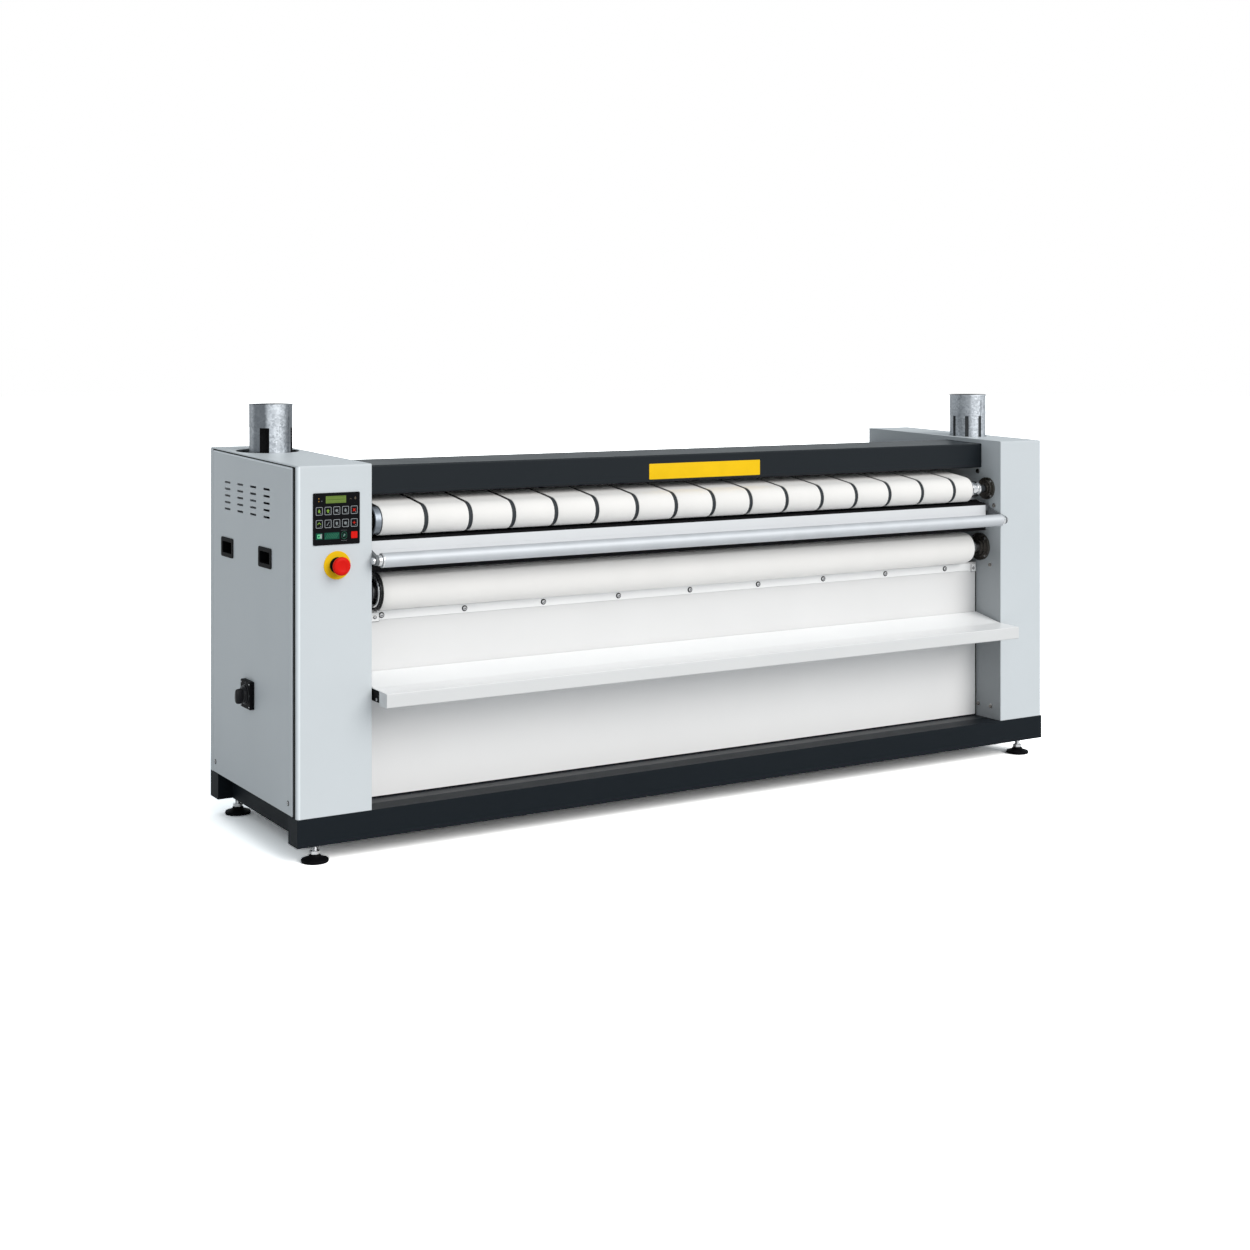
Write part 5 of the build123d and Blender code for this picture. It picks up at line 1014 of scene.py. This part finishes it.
def screws_piece(name, groups, replaces=()):
    """Screws joined in one piece: bright heads, and for a pan head a black washer and a cross painted black
    as shade.
    """
    shells = [s for group in groups for s, _ in group]
    loops = [ringed for group in groups for _, ringed in group]
    kinds = {1: ["screw"], 2: ["screw", "dark_chrome"], 3: ["washer", "screw", "recess"]}
    finishes = [kind for group in groups for kind in kinds[len(group)]]
    return piece(name, shells, finishes, "frame", replaces, loops)


SCREW_COUNT = 9
FIRST_SCREW = 0.097
LAST_SCREW = 0.173
STRIP_SCREW_DROP = 0.015
PANEL_SCREWS = (0.0805, 0.786)
PANEL_SCREW_HEIGHT = 0.038
# Distance behind the cabinets' front, and height.
WALL_BOLTS = ((0.038, 1.025), (0.060, 0.782), (0.134, 1.160), (0.057, 0.206), (0.130, 0.206))


class IRONER_OT_screws(Operator):
    """Drive the screws of the clamp strip, the service panels and the inner walls"""

    bl_idname = "ironer.screws"
    bl_label = "Screws and bolts"

    def execute(self, context):
        low, high = node_box("panel_clamp_strip")
        left, right = inner_walls()
        z = high[2] - STRIP_SCREW_DROP
        places = np.linspace(left + FIRST_SCREW, right - LAST_SCREW, SCREW_COUNT)
        groups = [pan_screw((x, low[1], z), -Y, 0.0068, 0.0042) for x in places]
        screws_piece("clamp_strip_screws", groups, ("strip_screws",))

        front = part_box("left_casing")[0][1]
        groups = []
        for side, way in (("left", -X), ("right", X)):
            low, high = node_box(f"{side}_service_panel")
            face = low[0] if way[0] < 0 else high[0]
            for y in PANEL_SCREWS:
                place = (face, front + y, low[2] + PANEL_SCREW_HEIGHT)
                groups.append(pan_screw(place, way, 0.0058, 0.0018))
        for wall, way in ((left, X), (right, -X)):
            groups += [hex_bolt((wall, front + y, z), way, 0.0135, 0.006) for y, z in WALL_BOLTS]
        screws_piece("casing_bolts", groups, ("casing_screws",))
        return {"FINISHED"}


# Closed profiles in millimetres: along the axis, and the radius or what it is past the roller's rim.
UPPER_HUB = mm([
    (0, 15.5), (0, 24), (1.5, 26.2), (9, 26.2), (10.5, 24.5), (18, 24.5), (19, 30), (20.5, 31.5),
    (33, 31.5), (34.5, 30), (35.5, 26.2), (48, 26.2), (49, 29), (50, 30), (58, 30), (59, 28.8), (59, 15.5),
])
UPPER_SLEEVE = mm([
    (4, -10.5), (0.6, -9), (-0.6, -6), (-0.2, -2), (1.4, 0), (21.4, 0), (21.8, -0.4), (21.8, -10.5)
])
UPPER_RACE = mm([(8.6, 15.2), (3, 15.6), (2.2, 17), (2.2, 21.5), (3.4, 23), (8.6, 23)])
DELIVERY_CAP = mm([
    (0, -20), (-2, -18), (-2, -11), (1.2, -9.5), (1.6, -2), (0, -0.4), (1.6, 1.2), (9, 1.2), (9.4, 0.8)
])
DELIVERY_HUB = mm([(0, 20.8), (-6, 20.8), (-7.2, 22), (-7.2, 27.5), (-6, 29), (0, 29)])
DELIVERY_NECK = mm([
    (0, 20.5), (0, 29), (2, 30.5), (12, 30.5), (13.5, 27.5), (22, 27.5), (23.2, 29.2), (30, 29.2),
    (31.2, 26.2), (39.5, 25.5), (39.5, 20.5),
])
TUBE_LIP = mm([(-0.2, 17.6), (-0.2, 22.8), (1, 24.3), (4, 24.3), (4, 17.6)])
TUBE_COLLAR = mm([
    (0.6, 16), (0.6, 17.2), (1.2, 18.2), (4.4, 18.2), (5.2, 17.3), (6.2, 17.3), (7, 18.2), (10.8, 18.2),
    (11.4, 17.2), (11.4, 16),
])
BEARING_SCREW = mm([(0, 4.2), (2.6, 4.2), (3.2, 3.6)])


def roller_trim(name, profiles, centre, finishes, body):
    """Bands turned round an axis along X, from closed profiles of (along, radius)."""
    shells = [turned_piece(profile, centre, X, sizes().round_steps) for profile in profiles]
    return piece(name, shells, finishes, body, loop=True)


class IRONER_OT_roller_ends(Operator):
    """Turn the hubs, rings and caps at the ends of the rollers and the tube"""

    bl_idname = "ironer.roller_ends"
    bl_label = "Roller ends"

    def execute(self, context):
        left, right = inner_walls()
        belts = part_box("ironing_belts")
        upper = roller_circle("upper_roller")
        end = belts[1][0] + 0.0045
        room = right - 0.0245 - end
        hub = UPPER_HUB * (min(1.0, room / 0.0595), 1)
        roller_trim("upper_roller_hub", [hub], (end, *upper[:2]), "chrome", "upper_roller")
        rim = upper[2] - 0.0002
        # The web deep inside the ring is painted black as its shade.
        web = [(0.0100, 0.0152), (0.0086, 0.0152), (0.0086, rim - 0.0104), (0.0100, rim - 0.0104)]
        profiles = [UPPER_SLEEVE + (0, rim), web, UPPER_RACE]
        finishes = ["ring_steel", "recess", "dark_chrome"]
        centre = (belts[0][0] - 0.0240, *upper[:2])
        roller_trim("upper_roller_left_ring", profiles, centre, finishes, "upper_roller")

        low, high = node_box("lower_roller_pad")
        lower = roller_circle("lower_roller_pad")
        rim = lower[2] - 0.0010
        flange = low[0] - 0.0098
        cap = np.concatenate([[(0, 0.0205)], DELIVERY_CAP + (0, rim), [(0.0094, 0.0205)]])
        centre = (flange - 0.0004, *lower[:2])
        roller_trim("delivery_left_flange", [cap], centre, "gloss_black", "delivery_roller")
        bend = np.linspace(0, np.pi, 9)
        bead = mm(np.stack([-4.5 * np.sin(bend), 5.5 * np.cos(bend) - 15.5], -1)) + (0, rim)
        centre = (flange - 0.0024, *lower[:2])
        roller_trim("delivery_left_ring", [bead, DELIVERY_HUB], centre, "chrome", "delivery_roller")
        centre = (high[0] + 0.0006, *lower[:2])
        roller_trim("delivery_right_neck", [DELIVERY_NECK], centre, "chrome", "delivery_roller")

        groups = []
        for axis, radius, wall, way in (
            (upper, 0.0410, right - 0.009, -X),
            (lower, 0.0500, right - 0.010, -X),
            (lower, 0.0500, left + 0.010, X),
        ):
            for y, z in regular(4, radius, np.pi / 4) + axis[:2]:
                groups.append([(turned_piece(BEARING_SCREW, (wall, y, z), way, 12), False)])
        screws_piece("bearing_screws", groups)

        low, high = node_box("feed_tube")
        _, y, z = (low + high) / 2
        for side, end, wall, way in (("left", low[0], left, 1), ("right", high[0], right, -1)):
            name, turned = f"feed_tube_{side}", (way, 1)
            roller_trim(f"{name}_lip", [TUBE_LIP * turned], (end, y, z), "chrome", "feed_tube")
            centre = (wall + way * 0.010, y, z)
            roller_trim(f"{name}_collar", [TUBE_COLLAR * turned], centre, "chrome", "frame")
        return {"FINISHED"}


FEET = ("foot_front_left", "foot_front_right", "foot_rear_left", "foot_rear_right")
FOOT_RIM = mm([(0, -3), (0.8, -1), (3, 0), (8.8, 0), (10.6, -1.4), (12.4, -6.5)])
FOOT_CONE = mm([(16, 27), (19, 21.2), (23.6, 19.2), (25, 17.2), (25.3, 10)])
FOOT_NUT = mm([(0, 15), (1.2, 17.2), (10.8, 17.2), (12, 15)])
FOOT_NUT_LEVELS = (0.0256, 0.0519)
THREAD_PITCH = 0.0025
THREAD_RADII = (0.0086, 0.0099)


class IRONER_OT_feet(Operator):
    """Turn the levelling feet: ribbed pad, threaded stem and lock nuts"""

    bl_idname = "ironer.feet"
    bl_label = "Levelling feet"

    def execute(self, context):
        turns = np.arange(0.0245, 0.0635, THREAD_PITCH)
        levels = np.stack([turns, turns + THREAD_PITCH / 2], -1).ravel()
        thread = np.stack([levels, np.tile(THREAD_RADII, len(turns))], -1)
        for name in FEET:
            low, high = node_box(name)
            centre = ((low[0] + high[0]) / 2, (low[1] + high[1]) / 2, 0.0)
            pad = np.concatenate([FOOT_RIM + (0, (high[0] - low[0]) / 2), FOOT_CONE])
            top = high[2] - 0.0005
            stem = np.concatenate([[(0.0180, 0.0098)], thread, [(0.0645, 0.0099), (top, 0.0099)]])
            shells = [turned_piece(pad, centre, Z, 64), turned_piece(stem, centre, Z, 24)]
            shells += [turned_piece(FOOT_NUT + (level, 0), centre, Z, 6) for level in FOOT_NUT_LEVELS]
            piece(f"{name}_dressed", shells, ["black"] + ["chrome"] * 3, name, (name,))
        return {"FINISHED"}


class IRONER_OT_label_plate(Operator):
    """Lay the bare yellow plate on the hood's front"""

    bl_idname = "ironer.label_plate"
    bl_label = "Label plate"

    def execute(self, context):
        place = (0.052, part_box("hood")[0][1], 1.2145)
        sheet = plate(place, X, Z, (0.2475, 0.0285), 0.003, 0.0010, 0.0003)
        piece("label_plate", [sheet], "yellow", "frame", sharp=40)
        return {"FINISHED"}

# ---------------------------------------------------------------- seams, painted shade and painted highlights
def rectangle(left, right, bottom, top):
    return np.array([(left, bottom), (right, bottom), (right, top), (left, top)])


def along_x(points, places):
    """An outline in (y, z) carried along X: one ring at each place."""
    points = np.asarray(points, float)
    return np.stack([np.column_stack([np.full(len(points), x), points]) for x in places])


def flat_on_front(y, lift, *rim):
    """A rectangle of left, right, bottom and top on a face that looks to -Y, from inside it to lift above."""
    return np.stack([[(x, y - d, z) for x, z in rectangle(*rim)] for d in (lift, -0.0002)])


def bent_strip(centre, arc, rows):
    """An upright strip along an arc of unit vectors: rings at (z, radius out, radius of the way back)."""
    rings = [(z, centre[:2] + np.concatenate([arc * out, arc[::-1] * back])) for z, out, back in rows]
    return np.stack([np.column_stack([ring, np.full(len(ring), z)]) for z, ring in rings])


DUCT_HEM = mm([(-6, -1.2), (-5.6, 0.7), (-1.2, 0.7), (-0.1, 0), (-0.1, -1.2)])
DUCT_BEAD = mm([(-77, -1), (-76.8, 0.6), (-74.2, 0.6), (-74, -1)])
# Radians round from +X.
SEAM_ANGLES = {"left": -0.92, "right": -1.42}
SEAM_HALF_ANGLE = 0.075


class IRONER_OT_duct_seams(Operator):
    """Fold the ducts' hems, beads and lock seams"""

    bl_idname = "ironer.duct_seams"
    bl_label = "Duct seams"

    def execute(self, context):
        for side, turn in SEAM_ANGLES.items():
            low, high = node_box(f"{side}_exhaust_duct")
            centre, radius, top = (low + high) / 2, (high[0] - low[0]) / 2, high[2]
            centre[2] = 0.0
            shells = [turned_piece(p + (top, radius), centre, Z, 96) for p in (DUCT_HEM, DUCT_BEAD)]
            arc = circle(turn + np.linspace(-SEAM_HALF_ANGLE, SEAM_HALF_ANGLE, 9))
            rows = [(z, radius - 0.0006, radius + 0.0016) for z in (low[2] + 0.02, top - 0.006)]
            shells.append(bent_strip(centre, arc, rows))
            loops = [True, True, False]
            piece(f"{side}_duct_seams", shells, f"{side}_zinc", "frame", loop=loops)
        return {"FINISHED"}


FRONT_GAP = 0.0138
TOP_GAP = 0.0042
TOP_SLOPE = 0.024 / 0.838
CORNER = 0.010
CORNER_TOP = 1.2822


class IRONER_OT_cabinet_edges(Operator):
    """Set black strips of painted shade in the gaps round the service panels, and painted highlights on the
    edges of panels and casings
    """

    bl_idname = "ironer.cabinet_edges"
    bl_label = "Cabinet gap shade and edge highlights"

    def execute(self, context):
        for side, way in (("left", -1), ("right", 1)):
            low, high = node_box(f"{side}_service_panel")
            face = low[0] if way < 0 else high[0]
            front, rear = low[1] - FRONT_GAP, high[1] + 0.0010
            top_front = high[2] - TOP_SLOPE * (high[1] - low[1]) + TOP_GAP
            inner = front + FRONT_GAP - 0.0004
            # Black strips of painted shade fill the gaps round the panel, with a lip over the casing's
            # return.
            strip = [
                (front, low[2]), (inner, low[2]), (inner, top_front - 0.0060), (rear, high[2] - 0.0006),
                (rear, high[2] + TOP_GAP - 0.0004), (front, top_front),
            ]
            lip = rectangle(front - 0.0100, front + 0.0008, low[2], top_front - 0.0010)
            shells = [
                along_x(strip, (face - way * 0.0022, face - way * 0.0140)),
                along_x(lip, (face + way * 0.0005, face - way * 0.0010)),
            ]
            piece(f"{side}_panel_gap_shade", shells, "recess", "frame")

            (_, front, bottom), (_, rear, top) = low, high
            shoulder = top_front - TOP_GAP
            # A lighter band along the panel's front and top edges is a painted highlight.
            edge = [
                (front + 0.0004, bottom + 0.002), (front + 0.0052, bottom + 0.002),
                (front + 0.0052, shoulder - 0.0060), (rear - 0.004, top - 0.0050),
                (rear - 0.004, top - 0.0006), (front + 0.0060, shoulder - 0.0008),
                (front + 0.0004, shoulder - 0.0060),
            ]
            edge = along_x(edge, (face + way * 0.0003, face - way * 0.0010))
            piece(f"{side}_panel_edge_highlight", [edge], "hem", "frame")

            low, high = node_box(f"{side}_casing")
            # A rounded strip over the casing's corner, in the same painted highlight.
            centre = np.array([(low[0] if way < 0 else high[0]) - way * CORNER, low[1] + CORNER])
            arc = circle(np.linspace(0, np.pi / 2, 10)) * (way, -1)
            levels = (low[2], 0.0001), (CORNER_TOP, 0.0001), (CORNER_TOP + 0.0024, -0.0004)
            strip = bent_strip(centre, arc, [(z, CORNER + grown, CORNER - 0.0014) for z, grown in levels])
            piece(f"{side}_casing_corner", [strip], "hem", "frame")
        return {"FINISHED"}


# Foot of the black strip of painted shadow behind the feed tube.
TUBE_SHADOW_FOOT = 0.9240
# Outline of the black strip of painted shade under the belts, on the feed plate's slope.
BELT_SHADE = mm([
    (-302.4, 1027), (-302.4, 1031.2), (-301.2, 1033.8), (-298.8, 1035), (-267.2, 1038.4), (-244, 1046.1),
    (-244, 1045), (-266.8, 1037.4), (-298.6, 1034), (-300.6, 1032.8), (-301.6, 1030.8), (-301.8, 1027),
])
# Left and right end of each tab, from the strip's left end.
TABS = ((0.0500, 0.0795), (2.716, 2.7375))
TAB_DROP = (0.0050, 0.0345)
TAB_SHADOW = 0.0011
# Bracket plates at the shelf's ends, painted black as the shade under the shelf.
SHELF_BRACKET_SHADE = mm([(-414, 512), (-345, 512), (-345, 550.5), (-414, 550)])
SHELF_SCREW = (-0.394, 0.5210)
# Radius and height of the black sheet of painted shade behind the right duct's slots.
SLOT_SHADE_RADIUS = 0.0722
SLOT_SHADE_HEIGHT = (1.296, 1.396)


class IRONER_OT_front_trim(Operator):
    """Fit the feed plate's hem, the painted shadow behind the tube and painted shade under the belts, the
    strip's tabs, painted shade at the panel's foot and edge, and the shelf's ends
    """

    bl_idname = "ironer.front_trim"
    bl_label = "Front trim"

    def execute(self, context):
        low, high = node_box("feed_plate")
        y, z, ends = low[1], low[2], (low[0], high[0])
        hem = along_x(rectangle(y - 0.0005, y + 0.0010, z - 0.0160, z + 0.0020), ends)
        piece("feed_plate_hem", [hem], "plate", "frame")
        # A black strip of painted shadow behind the tube, and black painted shade under the belts.
        tube_shadow = rectangle(y - 0.0002, y + 0.0010, TUBE_SHADOW_FOOT, z - 0.0150)
        shells = [along_x(strip, ends) for strip in (tube_shadow, BELT_SHADE)]
        piece("feed_plate_painted_shade", shells, "recess", "frame")

        strip = node_box("panel_clamp_strip")
        tabs = [(strip[0][0] + a, strip[0][0] + b) for a, b in TABS]
        y, top = strip[0][1], strip[1][2]
        shells = [
            flat_on_front(y, lift, a - grow, b + grow, top - TAB_DROP[1] - grow, top - TAB_DROP[0])
            for a, b in tabs
            for grow, lift in ((0.0, 0.0016), (TAB_SHADOW, 0.0006))
        ]
        piece("clamp_strip_tabs", shells, ["strip", "recess"] * 2, "frame")
        (left, y, bottom), (right, _, _) = node_box("front_panel")
        # Black lines of painted shade at the panel's foot and along its right edge.
        shells = [
            flat_on_front(y, 0.0005, left + 0.002, right - 0.001, bottom + 0.0002, bottom + 0.0050),
            flat_on_front(y, 0.0004, right - 0.0052, right - 0.0004, bottom + 0.0040, strip[0][2] - 0.0010),
        ]
        piece("front_panel_gap_shades", shells, "recess", "frame")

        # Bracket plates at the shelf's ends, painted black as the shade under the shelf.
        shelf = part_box("linen_shelf")
        ends = (shelf[0][0] + 0.0020, shelf[1][0] - 0.0020)
        shells = [along_x(SHELF_BRACKET_SHADE, (x - 0.0007, x + 0.0007)) for x in ends]
        piece("shelf_end_brackets_in_painted_shade", shells, "recess", "frame")
        outside = ((shelf[0][0] + 0.0013, -X), (shelf[1][0] - 0.0013, X))
        groups = [pan_screw((x, *SHELF_SCREW), way, 0.0052, 0.0034) for x, way in outside]
        for a, b in tabs:
            place = ((a + b) / 2, strip[0][1] - 0.0015, top - 0.021)
            groups.append(pan_screw(place, -Y, 0.0040, 0.0022))
        screws_piece("small_screws", groups)
        return {"FINISHED"}


class IRONER_OT_duct_slot_shade(Operator):
    """Roll a black sheet of painted shade behind the right duct's slots"""

    bl_idname = "ironer.duct_screen"
    bl_label = "Duct slot shade"

    def execute(self, context):
        low, high = node_box("right_exhaust_duct")
        centre = ((low[0] + high[0]) / 2, (low[1] + high[1]) / 2, 0.0)
        (bottom, top), outer = SLOT_SHADE_HEIGHT, SLOT_SHADE_RADIUS
        inner = outer - 0.0006
        profile = [(bottom, inner), (bottom, outer), (top, outer), (top, inner)]
        screen = turned_piece(profile, centre, Z, 72)
        piece("right_duct_slot_shade", [screen], "screen", "frame", loop=True)
        return {"FINISHED"}


# ---------------------------------------------------------------- stage
RAYS = ("Is Camera Ray", "Is Glossy Ray", "Is Transmission Ray")
FLOOR_RADIUS = 60.0
FLOOR_GREYS = {"lit": (0.67, 0.68, 0.69), "mirrored": (1.25, 1.25, 1.25), "seen": (3.2, 3.2, 3.2)}
ROOM_TINT = (0.90, 0.965, 1.0)
ROOM_MIRRORED = 0.8
SOFTBOXES = (
    ("key_softbox", 2.0, 46, (-0.28, 0.80, -0.54)),
    ("front_softbox", 0.36, 70, (0.05, 1.0, -0.10)),
)
LAMP_COLOUR = (1.0, 0.985, 0.96)
CAMERA_PLACE = (-3.7622, -5.9035, 1.6607)
CAMERA_LOOK = (0.5225, 0.8526, 0.0)
CAMERA_LENS = 52.83
CAMERA_SHIFT = -0.2206


def looking(way):
    """Turns of a lamp or camera that looks along way."""
    return Vector(way).to_track_quat("-Z", "Y").to_euler()


class IRONER_OT_stage(Operator):
    """Set the floor, the room light, the two soft lamps and the camera"""

    bl_idname = "ironer.stage"
    bl_label = "Set the stage"

    def execute(self, context):
        link = context.scene.collection.objects.link
        floor = turned_piece([(-0.02, FLOOR_RADIUS), (0.0, FLOOR_RADIUS)], (0, 0, 0), Z, 96)
        points, faces = shell(floor, False)
        mesh = bpy.data.meshes.new("studio_floor")
        mesh.from_pydata(points.tolist(), [], [row for face in faces for row in face.tolist()])
        ground = bpy.data.objects.new("studio_floor", mesh)
        link(ground)
        paper = Finish("floor_paper", (0.7, 0.7, 0.7), 0.9)
        paper.tree.nodes.remove(paper.shader)
        out = next(n for n in paper.tree.nodes if n.type == "OUTPUT_MATERIAL")
        camera, glossy, through = (paper.add("ShaderNodeLightPath", output=ray) for ray in RAYS)
        shade = paper.mix(glossy, FLOOR_GREYS["lit"], FLOOR_GREYS["mirrored"])
        shade = paper.mix(camera.math("MAXIMUM", through), shade, FLOOR_GREYS["seen"])
        paper.feed(out.inputs["Surface"], paper.add("ShaderNodeBsdfDiffuse", None, {"Color": shade}))
        mesh.materials.append(paper.material)

        world = bpy.data.worlds.new("studio")
        context.scene.world = world
        world.use_nodes = True
        room = Finish.__new__(Finish)
        room.tree = world.node_tree
        back = next(n for n in room.tree.nodes if n.type == "BACKGROUND")
        camera, glossy, through = (room.add("ShaderNodeLightPath", output=ray) for ray in RAYS)
        shown = camera.math("MAXIMUM", through)
        level = colours().ambient
        mirrored = glossy * (ROOM_MIRRORED - level) * (1.0 - shown)
        room.feed(back.inputs["Color"], room.mix(shown, ROOM_TINT, (1.0, 1.0, 1.0)))
        room.feed(back.inputs["Strength"], level + shown * (1.0 - level) + mirrored)

        for name, power, angle, way in SOFTBOXES:
            lamp = bpy.data.lights.new(name, "SUN")
            lamp.energy = power
            lamp.color = LAMP_COLOUR
            lamp.angle = np.radians(angle)
            light = bpy.data.objects.new(name, lamp)
            light.rotation_euler = looking(way)
            link(light)

        lens = bpy.data.cameras.new("photo_camera")
        lens.sensor_width = 36.0
        lens.lens = CAMERA_LENS
        lens.shift_y = CAMERA_SHIFT
        lens.clip_end = 200.0
        camera = bpy.data.objects.new("photo_camera", lens)
        camera.location = CAMERA_PLACE
        camera.rotation_euler = looking(CAMERA_LOOK)
        link(camera)
        context.scene.camera = camera
        context.scene.view_settings.view_transform = "Standard"
        return {"FINISHED"}


class IRONER_PT_panel(Panel):
    """Sizes, colours and the steps of the ironer's looks"""

    bl_label = "Flatwork Ironer"
    bl_idname = "IRONER_PT_panel"
    bl_space_type = "VIEW_3D"
    bl_region_type = "UI"
    bl_category = "Ironer"

    def draw(self, context):
        for group in (context.scene.ironer_sizes, context.scene.ironer_colours):
            box = self.layout.box()
            for name in group.__annotations__:
                box.prop(group, name)
        for step in STEPS:
            self.layout.operator(step.bl_idname)


STEPS = [
    IRONER_OT_paint,
    IRONER_OT_belts,
    IRONER_OT_roller_pad,
    IRONER_OT_control_unit,
    IRONER_OT_emergency_stop,
    IRONER_OT_main_switch,
    IRONER_OT_screws,
    IRONER_OT_roller_ends,
    IRONER_OT_feet,
    IRONER_OT_label_plate,
    IRONER_OT_duct_seams,
    IRONER_OT_cabinet_edges,
    IRONER_OT_front_trim,
    IRONER_OT_duct_slot_shade,
    IRONER_OT_stage,
]
CLASSES = [IronerSizes, IronerColours, *STEPS, IRONER_PT_panel]


def register():
    for cls in CLASSES:
        bpy.utils.register_class(cls)
    bpy.types.Scene.ironer_sizes = PointerProperty(type=IronerSizes)
    bpy.types.Scene.ironer_colours = PointerProperty(type=IronerColours)


def unregister():
    del bpy.types.Scene.ironer_colours
    del bpy.types.Scene.ironer_sizes
    for cls in reversed(CLASSES):
        bpy.utils.unregister_class(cls)


def main():
    register()
    for step in STEPS:
        group, name = step.bl_idname.split(".")
        getattr(getattr(bpy.ops, group), name)()


if __name__ == "__main__":
    main()
